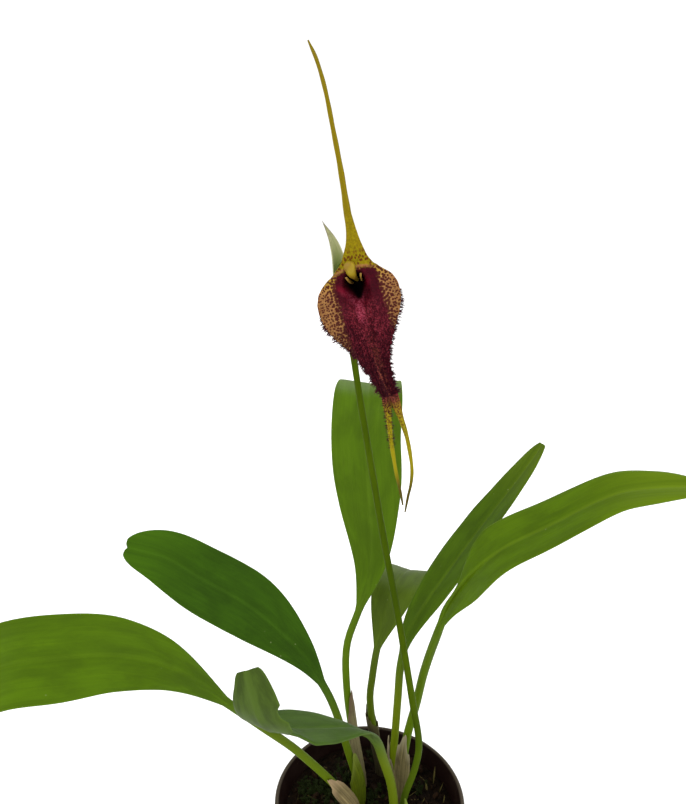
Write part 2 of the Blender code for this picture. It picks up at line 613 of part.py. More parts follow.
def bloom_mesh(half_columns, spikes):
    """Three sepals fused into one body with a tube behind, a tail above and two below."""
    across, up, out = bloom_axes()
    us = column_positions(half_columns)
    columns = len(us)
    verts = []
    faces = []
    rings = []

    join = bloom_point(0.5 * (table(MARGIN_LEFT, 17.0) + table(MARGIN_RIGHT, 17.0)), 17.0, -0.35)
    top = Spine([join] + TAIL_TOP)
    for step in range(TAIL_ROWS, 0, -1):
        s = step / TAIL_ROWS
        tangent = top.tangent(s)
        face = (out - tangent * out.dot(tangent)).normalized()
        radius = lerp(0.85, 0.48, smooth(s * 1.2))
        rings.append(round_ring(top.at(s), tangent.cross(face), face, radius, us))
    for y in BODY_ROWS:
        front = [sepal_front(u, y) for u in us]
        normals = [sepal_normal(u, y) for u in us]
        back = [p - n * SEPAL_THICKNESS for p, n in zip(front, normals)]
        if y > 13.0:
            centre = sepal_front(0.0, y) - out * 0.4
            reach = 0.5 * (table(MARGIN_RIGHT, y) - table(MARGIN_LEFT, y))
            tube = round_ring(centre, across, out, reach, us)
            blend = smooth((y - 13.0) / 4.0)
            flat = front + list(reversed(back))
            rings.append([a.lerp(b, blend) for a, b in zip(flat, tube)])
        else:
            rings.append(front + list(reversed(back)))
    for index, ring in enumerate(rings):
        verts += ring
        if index:
            bridge(faces, (index - 1) * 2 * columns, index * 2 * columns, 2 * columns)
    for i in range(columns - 1):
        faces.append((i, i + 1, 2 * columns - 2 - i, 2 * columns - 1 - i))

    last = (len(rings) - 1) * 2 * columns
    middle = half_columns
    for path, picks in ((TAIL_LEFT, range(0, middle + 1)), (TAIL_RIGHT, range(middle, columns))):
        picks = list(picks)
        ids = [last + i for i in picks] + [last + 2 * columns - 1 - i for i in reversed(picks)]
        corner = [verts[i] for i in ids]
        centre = sum(corner, Vector()) / len(corner)
        tail = Spine([centre] + path)
        local = [lerp(-1.0, 1.0, i / (len(picks) - 1)) for i in range(len(picks))]
        for step in range(1, TAIL_ROWS + 1):
            s = step / TAIL_ROWS
            tangent = -tail.tangent(s)
            face = (out - tangent * out.dot(tangent)).normalized()
            side = tangent.cross(face)
            radius = table([(0.0, 1.0), (0.15, 0.85), (0.5, 0.6), (1.0, 0.42)], s)
            ring = round_ring(tail.at(s), side, face, radius, local)
            if step == 1:
                carried = [p + (tail.at(s) - centre) for p in corner]
                ring = [a.lerp(b, 0.55) for a, b in zip(carried, ring)]
            first = len(verts)
            verts += ring
            size = len(ring)
            for i in range(size):
                j = (i + 1) % size
                faces.append((ids[i], ids[j], first + j, first + i))
            ids = [first + i for i in range(size)]
        half = len(ids) // 2
        for i in range(half - 1):
            faces.append((ids[i], ids[i + 1], ids[-2 - i], ids[-1 - i]))

    if spikes:
        spiked = []
        for index in range(len(faces)):
            quad = faces[index]
            row = min(quad) // (2 * columns) - TAIL_ROWS
            column = min(quad) % (2 * columns)
            if len(quad) != 4 or max(quad) > last + 2 * columns - 1 or row < 0 or row >= len(BODY_ROWS) - 1:
                spiked.append(quad)
                continue
            y = BODY_ROWS[row]
            lively = -26.0 < y < -5.5 and column < columns - 1 and (row + column) % 2 == 0
            edge = min(column, columns - 2 - column)
            if not lively or (y > -12.0 and edge > 3):
                spiked.append(quad)
                continue
            corners = [verts[i] for i in quad]
            centre = sum(corners, Vector()) / 4.0
            normal = (corners[2] - corners[0]).cross(corners[3] - corners[1]).normalized()
            if normal.dot(out) < 0.0:
                normal = -normal
            lean = across * (0.5 if column > half_columns else -0.5) * (0.6 if edge < 2 else 0.2)
            apex = centre + (normal + lean).normalized() * SPIKE_HEIGHT
            first = len(verts)
            verts += [centre.lerp(p, 0.34) for p in corners]
            verts.append(apex)
            for i in range(4):
                j = (i + 1) % 4
                spiked.append((quad[i], quad[j], first + j, first + i))
                spiked.append((first + i, first + j, first + 4))
        faces = spiked
    return verts, faces


def tongue_mesh(points, faces_hint, half_width, thickness, rows):
    """Small flat petal with a rounded end."""
    spine = Spine(points)
    verts = []
    faces = []
    for row in range(rows + 1):
        s = row / rows
        tangent, side, face = spine.frame(s, faces_hint)
        reach = half_width * (0.65 + 0.35 * math.sin(math.pi * min(1.0, s * 0.8 + 0.1)))
        reach *= lerp(1.0, 0.55, smooth((s - 0.8) / 0.2))
        for x, z in ((-1, 0), (-0.6, 0.5), (0.6, 0.5), (1, 0), (0.6, -0.5), (-0.6, -0.5)):
            verts.append(spine.at(s) + side * (x * reach) + face * (z * thickness))
        if row:
            bridge(faces, (row - 1) * 6, row * 6, 6)
    last = rows * 6
    faces.append((5, 4, 3, 2, 1, 0))
    faces.append(tuple(last + i for i in range(6)))
    return verts, faces


def build_plant():
    holes = []
    for name, spec in LEAVES.items():
        verts, faces = leaf_mesh(spec, 7, 17, 3)
        make_object(name, verts, faces, spec["colour"], 0.45)
    for name, (leaf, height, mouth, angle, belly, colour) in SHEATHS.items():
        spec = LEAVES[leaf]
        spine = leaf_spine(spec)
        wrap = {
            "faces": spec["faces"],
            "inner": spec["stalk"] + SHEATH_INNER_GAP,
            "flare": 0.35,
            "belly": belly,
            "mouth": mouth,
            "open_angle": angle,
        }
        low = height_fraction(spine, 49.0)
        high = height_fraction(spine, height)
        verts, faces = sheath_mesh(spine, low, high, wrap, 5, 12)
        make_object(name, verts, faces, colour, 0.7)
    wrapped = {entry[0]: entry[4] for entry in SHEATHS.values()}
    for name, spec in LEAVES.items():
        x, y = spec["foot"]
        radius = spec["stalk"] + GAP
        if name in wrapped:
            radius = spec["stalk"] + SHEATH_INNER_GAP + SHEATH_WALL + GAP + 0.25 + 0.5 * wrapped[name]
        holes.append((x, y, radius))

    stem = Spine([Vector(p) for p in FLOWER_STEM] + [bloom_point(0.2, TUBE_CENTRE_Y, tube_floor() - SEPAL_THICKNESS - GAP - 0.35)])

    def stem_radius(s):
        return table([(0.0, 1.15), (0.3, 1.1), (0.6, STEM_RADIUS), (0.9, 0.9), (0.955, 0.95), (0.985, OVARY_RADIUS), (1.0, 1.2)], s)

    stations = [i / 26.0 * 0.9 for i in range(26)] + [0.9 + 0.1 * i / 9.0 for i in range(10)]
    hint = [(0.0, (0.0, -1.0, 0.0)), (0.9, (0.2, -1.0, 0.2)), (0.95, (0.2, -0.3, 1.0)), (1.0, (0.0, 0.2, 1.0))]
    verts, faces = tube_mesh(stem, stations, stem_radius, hint, 8)
    make_object("flower_stem", verts, faces, (0.05, 0.13, 0.02), 0.45)
    holes.append((FLOWER_STEM[0][0], FLOWER_STEM[0][1], 1.15 + GAP))

    bract_spine = Spine([(-8.7, -1.2, 232.8), (-9.4, -0.5, 236.6), (-10.0, 0.6, 241.5), (-10.6, 1.2, 247.0), (-12.2, 1.5, 251.6), (-14.8, 1.4, 256.2)])
    bract = {
        "faces": [(0.0, (0.1, -1.0, 0.1)), (1.0, (0.1, -1.0, 0.1))],
        "inner": 1.35, "flare": -0.95, "belly": 0.75, "mouth": 0.17, "open_angle": -0.5 * math.pi,
    }
    verts, faces = sheath_mesh(bract_spine, 0.05, 1.0, bract, 7, 12)
    make_object("floral_bract", verts, faces, (0.45, 0.46, 0.25), 0.7)

    verts, faces = bloom_mesh(6, True)
    make_object("fused_sepals", verts, faces, (0.2, 0.02, 0.03), 0.55)

    column = Spine([bloom_point(0.1, 1.2, tube_floor() + 0.35), bloom_point(0.1, 1.9, -5.0), bloom_point(0.1, 3.1, -1.6), bloom_point(0.1, 3.7, 0.5)])
    column_hint = [(0.0, BLOOM_UP), (1.0, BLOOM_UP)]
    verts, faces = tube_mesh(column, [i / 6.0 for i in range(7)], lambda s: lerp(0.5, 0.85, s * s), column_hint, 8)
    make_object("column", verts, faces, (0.55, 0.45, 0.02), 0.45)
    for name, hand in (("petal_left", -1.0), ("petal_right", 1.0)):
        points = [
            bloom_point(0.1 + hand * 1.15, 1.1, -8.0),
            bloom_point(0.1 + hand * 1.35, 1.7, -4.5),
            bloom_point(0.1 + hand * 1.6, 2.7, -1.2),
            bloom_point(0.1 + hand * 1.7, 2.9, 0.6),
        ]
        side = bloom_axes()[0] * hand
        verts, faces = tongue_mesh(points, [(0.0, side), (1.0, side)], 0.68, 0.6, 6)
        make_object(name, verts, faces, (0.6, 0.5, 0.1), 0.5)

    shoot = Spine([(13.6, -11.0, STALK_FOOT_Z), (13.6, -11.0, 54.0), (13.2, -10.8, 60.0), (12.4, -10.4, 67.5)])

    def shoot_radius(s):
        return table([(0.0, 1.1), (0.55, 1.25), (0.8, 1.0), (1.0, 0.35)], s)

    shoot_hint = [(0.0, (0.0, -1.0, 0.0)), (1.0, (0.0, -1.0, 0.0))]
    verts, faces = tube_mesh(shoot, [i / 9.0 for i in range(10)], shoot_radius, shoot_hint, 10)
    make_object("young_shoot", verts, faces, (0.12, 0.2, 0.03), 0.45)
    holes.append((13.6, -11.0, 1.25 + GAP))
    return holes


clear_scene()
build_pot()
build_medium(build_plant())
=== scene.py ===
"""Masdevallia orchid in a small round pot: the detailed look over the CAD frame."""
import math
import random

import bmesh
import bpy
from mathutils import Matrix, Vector
from mathutils.noise import noise


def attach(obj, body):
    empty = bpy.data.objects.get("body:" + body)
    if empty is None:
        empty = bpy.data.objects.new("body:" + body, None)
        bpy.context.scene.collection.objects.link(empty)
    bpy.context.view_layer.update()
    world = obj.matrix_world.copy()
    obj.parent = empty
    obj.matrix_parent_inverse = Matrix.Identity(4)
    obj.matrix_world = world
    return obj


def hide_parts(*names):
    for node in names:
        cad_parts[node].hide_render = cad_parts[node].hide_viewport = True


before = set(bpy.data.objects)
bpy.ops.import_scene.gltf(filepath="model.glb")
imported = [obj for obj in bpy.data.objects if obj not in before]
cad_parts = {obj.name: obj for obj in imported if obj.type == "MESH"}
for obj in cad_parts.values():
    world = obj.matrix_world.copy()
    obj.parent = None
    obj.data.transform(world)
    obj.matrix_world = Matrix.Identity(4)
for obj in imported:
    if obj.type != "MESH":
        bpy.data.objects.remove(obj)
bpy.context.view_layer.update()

MM = 0.001

# Pot and growing medium; all lengths are in millimetres
POT_RIM_RADIUS = 32.9
POT_HEIGHT = 60.0
POT_BASE_RADIUS = 22.5
POT_WALL = 1.2
RIM_WALL = 1.7
LIP_RADIUS = 0.75
POT_FLOOR = 1.6
POT_SEGMENTS = 144
DRAIN_RADIUS = 2.4
DRAIN_CIRCLE = 13.5
DRAIN_COUNT = 6
MEDIUM_GAP = 0.3
MEDIUM_EDGE_Z = 52.6
MEDIUM_CROWN = 2.2
MEDIUM_SEGMENTS = 190
MEDIUM_RINGS = 84
BARK_CHIP_COUNT = 170
LOOSE_FIBRE_COUNT = 44

# Stems, leaves and sheaths
STALK_FOOT_Z = 43.6
LEAF_EDGE = 0.36
LEAF_MID = 0.6
LEAF_ROUGHNESS = 0.42
LEAF_HALF_COLUMNS = 9
STALK_ROWS = 22
BLADE_ROWS = 64
BLADE_END = 0.998
SHEATH_FOOT_Z = 49.0
SHEATH_SLACK = 0.18
SHEATH_FLARE = 0.5
SHEATH_ROWS = 34
SHEATH_SIDES = 56
SHOOT_FOOT = (13.6, -11.0)

# Bloom: local frame at the throat, x right, y towards the upper tail, z out
THROAT = Vector((-5.9, -25.0, 243.1))
BLOOM_UP = Vector((-0.279, 0.109, 0.954)).normalized()
BLOOM_OUT = Vector((-0.12, -0.97, 0.2))
SEPAL_THICKNESS = 0.75
SEPAL_HALF_COLUMNS = 20
BODY_TOP = 17.0
BODY_LOW = -27.0
BODY_STEP = 0.44
UPPER_TAIL_ROWS = 46
LOWER_TAIL_ROWS = 44
TUBE_DEPTH = 9.0
TUBE_CENTRE_Y = 1.0
BED_HAIR_TRIES = 4200
MARGIN_HAIRS = 270


def lerp(a, b, t):
    return a + (b - a) * t


def smooth(t):
    t = min(1.0, max(0.0, t))
    return t * t * (3.0 - 2.0 * t)


def table(pairs, x):
    """Value at x of a smooth curve through (x, value) pairs."""
    if x <= pairs[0][0]:
        return pairs[0][1]
    if x >= pairs[-1][0]:
        return pairs[-1][1]
    n = len(pairs)
    slopes = []
    for i in range(n):
        a = pairs[max(0, i - 1)]
        b = pairs[min(n - 1, i + 1)]
        slopes.append((b[1] - a[1]) * (1.0 / (b[0] - a[0])))
    i = 0
    while x > pairs[i + 1][0]:
        i += 1
    h = pairs[i + 1][0] - pairs[i][0]
    t = (x - pairs[i][0]) / h
    t2 = t * t
    t3 = t2 * t
    value = pairs[i][1] * (2 * t3 - 3 * t2 + 1)
    value += slopes[i] * ((t3 - 2 * t2 + t) * h)
    value += pairs[i + 1][1] * (3 * t2 - 2 * t3)
    value += slopes[i + 1] * ((t3 - t2) * h)
    return value


class Spine:
    """Smooth curve through points, read by its fraction of arc length."""

    def __init__(self, points):
        points = [Vector(p) for p in points]
        knots = [0.0]
        for a, b in zip(points, points[1:]):
            knots.append(knots[-1] + (b - a).length)
        pairs = list(zip(knots, points))
        self.samples = [table(pairs, knots[-1] * i / 240.0) for i in range(241)]
        self.lengths = [0.0]
        for a, b in zip(self.samples, self.samples[1:]):
            self.lengths.append(self.lengths[-1] + (b - a).length)
        self.total = self.lengths[-1]

    def at(self, s):
        target = s * self.total
        if s <= 0.0:
            return self.samples[0] + (self.samples[1] - self.samples[0]).normalized() * target
        if s >= 1.0:
            end = (self.samples[-1] - self.samples[-2]).normalized()
            return self.samples[-1] + end * (target - self.total)
        low, high = 0, len(self.lengths) - 1
        while high - low > 1:
            mid = (low + high) // 2
            if self.lengths[mid] <= target:
                low = mid
            else:
                high = mid
        span = self.lengths[high] - self.lengths[low]
        return self.samples[low].lerp(self.samples[high], (target - self.lengths[low]) / span)

    def tangent(self, s):
        return (self.at(s + 0.012) - self.at(s - 0.012)).normalized()

    def near(self, point):
        point = Vector(point)
        best = min(range(241), key=lambda i: (self.samples[i] - point).length)
        return self.lengths[best] / self.total

    def frame(self, s, faces):
        """Tangent, side and face directions; faces are (fraction, vector) hints."""
        tangent = self.tangent(s)
        face = table([(f, Vector(v)) for f, v in faces], s)
        face = (face - tangent * face.dot(tangent)).normalized()
        return tangent, tangent.cross(face), face


def blade_profile(t, widest, tip_width, power, rise_power):
    """Half width of a blade from its base (0) to its rounded tip (1), largest 1."""
    if t <= 0.0:
        return 0.0
    rise = smooth(min(1.0, t / widest)) ** rise_power
    if t <= widest:
        return rise
    fall = (t - widest) / (1.0 - widest)
    return lerp(tip_width, 1.0, math.sqrt(max(0.0, 1.0 - fall ** power)))


# Leaves: foot on the medium, centre line, the way the upper side faces along it, shape and colours.
# A bite or pinch is (centre, reach, side, depth) along the blade.
LEAVES = {
    "leaf_left_long": {
        "foot": (-5.2, -6.5),
        "stalk_path": [
            (-4.9, -6.6, 57.0), (-7.8, -8.3, 67.9), (-22.7, -15.0, 94.0), (-33.6, -22.0, 111.5),
        ],
        "blade_path": [
            (-39.7, -27.0, 122.2), (-53.7, -38.0, 145.8), (-65.3, -46.0, 156.4), (-76.5, -52.0, 160.4),
            (-88.4, -57.0, 162.0), (-101.8, -60.0, 156.3), (-113.9, -60.0, 146.8),
        ],
        "faces": [
            (0.0, (0.5, -0.3, 0.8)), (0.4, (0.5, -0.5, 0.7)), (0.62, (0.25, -0.65, 0.72)),
            (1.0, (0.0, -0.65, 0.76)),
        ],
        "half_width": 10.3, "widest": 0.66, "stalk": 1.3, "fold": 0.12, "wave": 0.05, "waves": 2.2,
        "blade_green": (0.06, 0.12, 0.0008), "stalk_green": (0.085, 0.13, 0.002),
        "tip_green": (0.085, 0.15, 0.001), "under_green": (0.07, 0.12, 0.004),
        "midrib_and_sheen": 0.1, "slot": "leaf_bright",
    },
    "leaf_left_upper": {
        "foot": (-3.4, 2.6),
        "stalk_path": [(-3.5, 2.6, 57.0), (-4.4, 2.8, 65.0), (-7.1, 3.4, 75.2), (-11.2, 5.0, 90.5)],
        "blade_path": [
            (-14.9, 6.0, 100.1), (-23.4, 8.0, 114.3), (-38.8, 12.0, 128.3), (-55.4, 14.0, 138.5),
            (-67.8, 14.0, 147.2), (-79.6, 12.0, 152.2),
        ],
        "faces": [
            (0.0, (0.6, -0.5, 0.3)), (0.45, (0.4, -0.75, 0.5)), (0.7, (0.1, -0.78, 0.62)),
            (1.0, (0.0, -0.7, 0.7)),
        ],
        "half_width": 11.0, "widest": 0.56, "notch": 0.7,
        "stalk": 1.35, "fold": 0.14, "wave": 0.01, "waves": 1.5,
        "blade_green": (0.026, 0.07, 0.0015), "stalk_green": (0.075, 0.12, 0.002),
        "tip_green": (0.042, 0.105, 0.0015), "under_green": (0.05, 0.1, 0.008),
        "midrib_and_sheen": 0.14, "slot": "leaf_dark",
    },
    "leaf_centre_tall": {
        "foot": (-2.4, 9.4),
        "stalk_path": [(-2.6, 9.6, 57.0), (-5.6, 12.0, 75.3), (-7.8, 17.0, 90.8), (-7.8, 22.0, 106.2)],
        "blade_path": [
            (-3.0, 27.0, 119.5), (0.5, 31.0, 135.4), (-0.1, 34.0, 157.5), (-1.3, 38.0, 178.4),
            (-0.6, 44.0, 190.8), (0.4, 55.0, 193.2), (1.6, 66.0, 189.4), (2.9, 78.0, 180.2),
        ],
        "faces": [
            (0.0, (0.0, -1.0, 0.0)), (0.55, (-0.05, -1.0, 0.1)), (0.72, (0.0, -0.95, 0.3)),
            (0.85, (0.0, -0.2, 1.0)), (1.0, (0.0, 0.6, 0.8)),
        ],
        "half_width": 12.0, "widest": 0.52, "tip_power": 3.4, "rise_power": 0.62,
        "stalk": 1.3, "fold": 0.12, "wave": 0.02, "waves": 1.3,
        "blade_green": (0.06, 0.118, 0.0022), "stalk_green": (0.08, 0.14, 0.0015),
        "tip_green": (0.085, 0.14, 0.01), "under_green": (0.06, 0.1, 0.008),
        "midrib_and_sheen": 0.1, "slot": "leaf_green",
    },
    "leaf_centre_back": {
        "foot": (4.7, 15.0),
        "stalk_path": [(4.6, 15.2, 57.0), (3.0, 18.0, 64.8), (0.7, 22.0, 81.9), (1.5, 24.0, 90.6)],
        "blade_path": [
            (3.0, 27.0, 99.5), (5.8, 32.0, 109.0), (9.1, 38.0, 117.2), (12.8, 47.0, 118.4),
            (16.8, 58.0, 114.5), (20.6, 68.0, 107.0), (25.0, 79.0, 96.0),
        ],
        "faces": [
            (0.0, (0.0, -1.0, 0.0)), (0.45, (-0.1, -0.95, 0.2)), (0.62, (-0.05, -0.5, 0.85)),
            (0.75, (0.0, 0.1, 1.0)), (1.0, (0.3, 0.6, 0.8)),
        ],
        "half_width": 8.6, "widest": 0.42, "stalk": 1.3, "fold": 0.14, "wave": 0.03, "waves": 1.2,
        "blade_green": (0.06, 0.098, 0.0055), "stalk_green": (0.065, 0.1, 0.002),
        "tip_green": (0.075, 0.11, 0.014), "under_green": (0.05, 0.08, 0.008),
        "midrib_and_sheen": 0.1, "slot": "leaf_green",
    },
    "leaf_right_narrow": {
        "foot": (8.6, 8.6),
        "stalk_path": [(8.6, 8.6, 57.0), (8.5, 8.8, 67.6), (9.1, 9.0, 78.6), (9.8, 10.0, 94.0)],
        "blade_path": [
            (10.6, 11.5, 107.0), (13.6, 14.0, 119.2), (23.2, 20.0, 133.4), (37.1, 28.0, 150.3),
            (49.4, 34.0, 164.3), (59.5, 38.0, 177.2),
        ],
        "faces": [
            (0.0, (-0.3, -0.9, 0.0)), (0.45, (-0.6, -0.7, 0.25)), (0.65, (-0.75, -0.3, 0.6)),
            (1.0, (-0.75, -0.2, 0.6)),
        ],
        "half_width": 8.2, "widest": 0.5, "tip_power": 1.9, "tip_width": 0.07,
        "stalk": 1.35, "fold": 0.2, "wave": 0.01, "waves": 1.3,
        "blade_green": (0.047, 0.094, 0.0015), "stalk_green": (0.115, 0.16, 0.003),
        "tip_green": (0.075, 0.12, 0.003), "under_green": (0.055, 0.09, 0.006),
        # painted sheen: on this leaf the pale midrib band also stands for a soft sheen
        "midrib_and_sheen": 0.2, "slot": "leaf_green",
    },
    "leaf_right_long": {
        "foot": (10.6, 1.8),
        "stalk_path": [
            (10.6, 1.8, 57.0), (11.0, 2.0, 66.0), (12.7, 2.6, 83.9), (15.2, 2.0, 98.0),
            (17.1, 0.0, 112.8),
        ],
        "blade_path": [
            (19.6, -4.0, 128.4), (23.1, -10.0, 147.3), (31.6, -18.0, 167.5), (46.0, -26.0, 182.6),
            (58.2, -32.0, 193.8), (67.7, -35.0, 196.9), (77.3, -36.0, 197.4),
        ],
        "faces": [
            (0.0, (0.0, -1.0, 0.0)), (0.45, (-0.55, -0.75, 0.2)), (0.68, (-0.45, -0.4, 0.8)),
            (1.0, (-0.1, -0.4, 0.9)),
        ],
        "half_width": 8.5, "widest": 0.45, "tip_power": 1.7, "rise_power": 1.25,
        "stalk": 1.4, "fold": 0.18, "wave": 0.012, "waves": 2.0,
        "pinches": [(0.28, 0.2, -1, 0.8)],
        "blade_green": (0.062, 0.12, 0.0006), "stalk_green": (0.075, 0.13, 0.001),
        "tip_green": (0.095, 0.15, 0.002), "under_green": (0.075, 0.115, 0.008),
        "midrib_and_sheen": 0.25, "slot": "leaf_bright",
    },
    "leaf_front_bitten": {
        "foot": (8.3, -9.6),
        "stalk_path": [(8.3, -9.6, 57.0), (8.0, -9.8, 64.0), (6.6, -10.6, 76.6), (3.6, -14.0, 90.4)],
        "blade_path": [
            (0.6, -18.0, 102.4), (-5.7, -24.0, 112.4), (-15.7, -32.0, 120.4), (-23.4, -40.0, 127.8),
            (-28.3, -45.6, 133.8), (-30.4, -48.0, 140.4), (-31.9, -47.0, 145.9), (-33.5, -44.0, 150.4),
        ],
        "faces": [
            (0.0, (-0.6, 0.8, 0.0)), (0.4, (-0.3, 0.9, 0.3)), (0.55, (0.1, 0.35, 0.95)),
            (0.75, (0.2, 0.1, 0.97)),
            (0.88, (0.3, 0.8, 0.5)), (1.0, (0.25, 0.9, 0.1)),
        ],
        "half_width": 8.0, "widest": 0.52, "tip_power": 4.5, "tip_width": 0.3,
        "stalk": 1.5, "fold": 0.1, "wave": 0.012, "waves": 2.0,
        "bites": [(0.66, 0.05, 1, 0.35), (0.675, 0.075, -1, 0.45), (0.845, 0.028, -1, 0.25)],
        "blade_green": (0.045, 0.092, 0.008), "stalk_green": (0.1, 0.14, 0.004),
        "tip_green": (0.058, 0.1, 0.012), "under_green": (0.052, 0.088, 0.011),
        "midrib_and_sheen": 0.2, "slot": "leaf_green",
    },
}


def leaf_spine(spec):
    x, y = spec["foot"]
    foot = [(x, y, STALK_FOOT_Z), (x, y, 50.0)]
    return Spine(foot + spec["stalk_path"] + spec["blade_path"])


# Sheaths: the leaf each one wraps, its shape, and its fibre, streak and mouth colours
SHEATHS = {
    "sheath_left_long": {
        "leaf": "leaf_left_long", "top_z": 82.0, "fray": 0.2,
        "mouth": 0.45, "tall_side": 2.2, "belly": 0.7,
        "fibre": (0.27, 0.21, 0.09), "streak": (0.13, 0.1, 0.045), "torn": (0.33, 0.23, 0.13),
    },
    "sheath_left_upper": {
        "leaf": "leaf_left_upper", "top_z": 76.0, "fray": 0.06,
        "mouth": 0.5, "tall_side": 1.2, "belly": 0.7,
        "fibre": (0.11, 0.145, 0.003), "streak": (0.075, 0.105, 0.003), "torn": (0.16, 0.2, 0.03),
    },
    "sheath_centre_tall": {
        "leaf": "leaf_centre_tall", "top_z": 91.0, "fray": 0.15,
        "mouth": 0.45, "tall_side": 0.6, "belly": 0.15,
        "fibre": (0.24, 0.21, 0.1), "streak": (0.14, 0.12, 0.055), "torn": (0.12, 0.07, 0.045),
    },
    "sheath_centre_back": {
        "leaf": "leaf_centre_back", "top_z": 80.0, "fray": 0.2,
        "mouth": 0.75, "tall_side": 3.6, "belly": 0.0,
        "fibre": (0.05, 0.04, 0.012), "streak": (0.02, 0.016, 0.007), "torn": (0.09, 0.08, 0.03),
    },
    "sheath_right_narrow": {
        "leaf": "leaf_right_narrow", "top_z": 77.0, "fray": 0.3,
        "mouth": 0.45, "tall_side": 3.0, "belly": 0.0,
        "fibre": (0.22, 0.19, 0.1), "streak": (0.1, 0.08, 0.04), "torn": (0.3, 0.26, 0.16),
    },
    "sheath_right_long": {
        "leaf": "leaf_right_long", "top_z": 88.0, "fray": 0.3,
        "mouth": 0.3, "tall_side": 1.9, "belly": 0.75,
        "fibre": (0.17, 0.145, 0.06), "streak": (0.08, 0.065, 0.025), "torn": (0.27, 0.24, 0.15),
    },
}


def height_fraction(spine, z):
    """Fraction of a rising spine at which it reaches height z."""
    s = 0.0
    while spine.at(s).z < z:
        s += 0.002
    return s


FLOWER_STEM = [
    (11.2, -4.2, STALK_FOOT_Z), (11.2, -4.2, 50.0), (11.2, -4.2, 57.0), (11.8, -4.4, 64.6),
    (14.6, -6.0, 78.0), (15.6, -7.0, 89.8), (13.1, -7.0, 106.1), (10.4, -6.0, 122.4), (7.4, -4.0, 139.5),
    (3.3, -3.0, 161.7), (-0.9, -3.0, 186.4), (-4.5, -3.0, 208.2), (-6.4, -3.0, 220.8), (-8.3, -1.2, 232.8),
    (-10.2, 0.0, 240.4), (-9.9, -2.2, 244.4), (-8.0, -6.0, 245.6), (-6.0, -10.5, 244.9),
]
BRACT_LINE = [
    (-8.7, -1.2, 232.8), (-9.4, -0.5, 236.6), (-10.0, 0.6, 241.5), (-10.6, 1.2, 247.0),
    (-12.2, 1.5, 251.6), (-14.8, 1.4, 256.2),
]
STEM_FEET = [leaf["foot"] for leaf in LEAVES.values()] + [FLOWER_STEM[0][:2], SHOOT_FOOT]


def bloom_axes():
    """The bloom's own right, up and outward directions."""
    out = (BLOOM_OUT - BLOOM_UP * BLOOM_OUT.dot(BLOOM_UP)).normalized()
    return BLOOM_UP.cross(out), BLOOM_UP, out


def bloom_point(x, y, z):
    across, up, out = bloom_axes()
    return THROAT + across * x + up * y + out * z


# Left and right margins of the fused sepals by height in the bloom's frame
MARGIN_LEFT = [
    (-28.0, -1.6), (-26.0, -1.8), (-24.0, -2.2), (-22.0, -2.7), (-20.0, -3.4), (-18.0, -4.0), (-16.0, -5.0),
    (-14.0, -6.1), (-12.0, -7.4), (-10.0, -8.5), (-8.0, -9.2), (-6.0, -9.8), (-4.0, -10.2), (-2.0, -10.2),
    (0.0, -9.7), (2.0, -8.4), (4.0, -5.6), (5.5, -3.5), (7.0, -1.9), (9.0, -0.7), (11.0, 0.4),
    (14.0, 1.3), (17.5, 1.75),
]
MARGIN_RIGHT = [
    (-28.0, 2.5), (-26.0, 2.3), (-24.0, 2.2), (-22.0, 2.3), (-20.0, 2.6), (-18.0, 3.0), (-16.0, 3.6),
    (-14.0, 4.6), (-12.0, 5.6), (-10.0, 6.8), (-8.0, 7.9), (-6.0, 8.8), (-4.0, 9.5), (-2.0, 9.7),
    (0.0, 9.5), (2.0, 8.4), (4.0, 6.4), (5.5, 5.2), (7.0, 4.5), (9.0, 4.1), (11.0, 3.8),
    (14.0, 3.6), (17.5, 3.5),
]
# Centre lines of the three tails from the body outwards, and the radii along them
TAIL_TOP = [
    (-9.7, -22.0, 269.8), (-11.4, -19.0, 278.3), (-13.2, -16.0, 286.8), (-15.2, -12.0, 293.3),
    (-17.2, -9.0, 297.6),
]
TAIL_LEFT = [
    (2.1, -29.0, 210.7), (2.5, -30.0, 207.2), (3.3, -31.0, 202.3), (4.1, -31.0, 197.9), (5.0, -31.0, 194.1),
    (5.8, -31.0, 189.9),
]
TAIL_RIGHT = [
    (5.2, -28.0, 211.4), (6.5, -27.0, 207.2), (7.6, -26.0, 202.2), (8.3, -26.0, 197.2), (8.1, -26.5, 193.5),
    (7.4, -27.0, 190.1), (6.7, -28.0, 186.3),
]
UPPER_TAIL_RADII = [(0.0, 0.87), (0.15, 0.7), (0.5, 0.54), (0.92, 0.42), (1.0, 0.2)]
LOWER_TAIL_RADII = [(0.0, 1.0), (0.15, 0.72), (0.5, 0.5), (0.85, 0.36), (1.0, 0.2)]
SEPAL_MASKS = ("wide", "height", "bed", "glow", "pit", "front", "tail")

# Moss on the medium as (x, y, spread, shoots), and dry sprigs as (x, y, height, lean)
MOSS_CLUMPS = [
    (-22.0, 6.0, 6.0, 60), (-16.0, 10.0, 6.0, 56), (-12.0, 4.0, 5.0, 40), (-20.0, -6.0, 6.0, 40),
    (-9.0, 13.0, 4.5, 26), (-12.0, -14.0, 6.0, 44), (2.0, 4.0, 4.0, 22), (4.0, -16.0, 5.0, 24),
    (19.0, 8.0, 4.5, 12), (16.0, -18.0, 5.0, 14), (2.0, 24.0, 4.0, 9), (22.0, -9.0, 3.0, 7),
]
SPRIGS = [
    (24.0, 12.0, 8.0, 0.05), (25.6, 8.0, 5.0, 0.3), (21.5, 9.0, 4.0, -0.2), (26.5, 3.0, 4.0, 0.1),
    (19.0, 3.0, 3.0, 0.3),
]


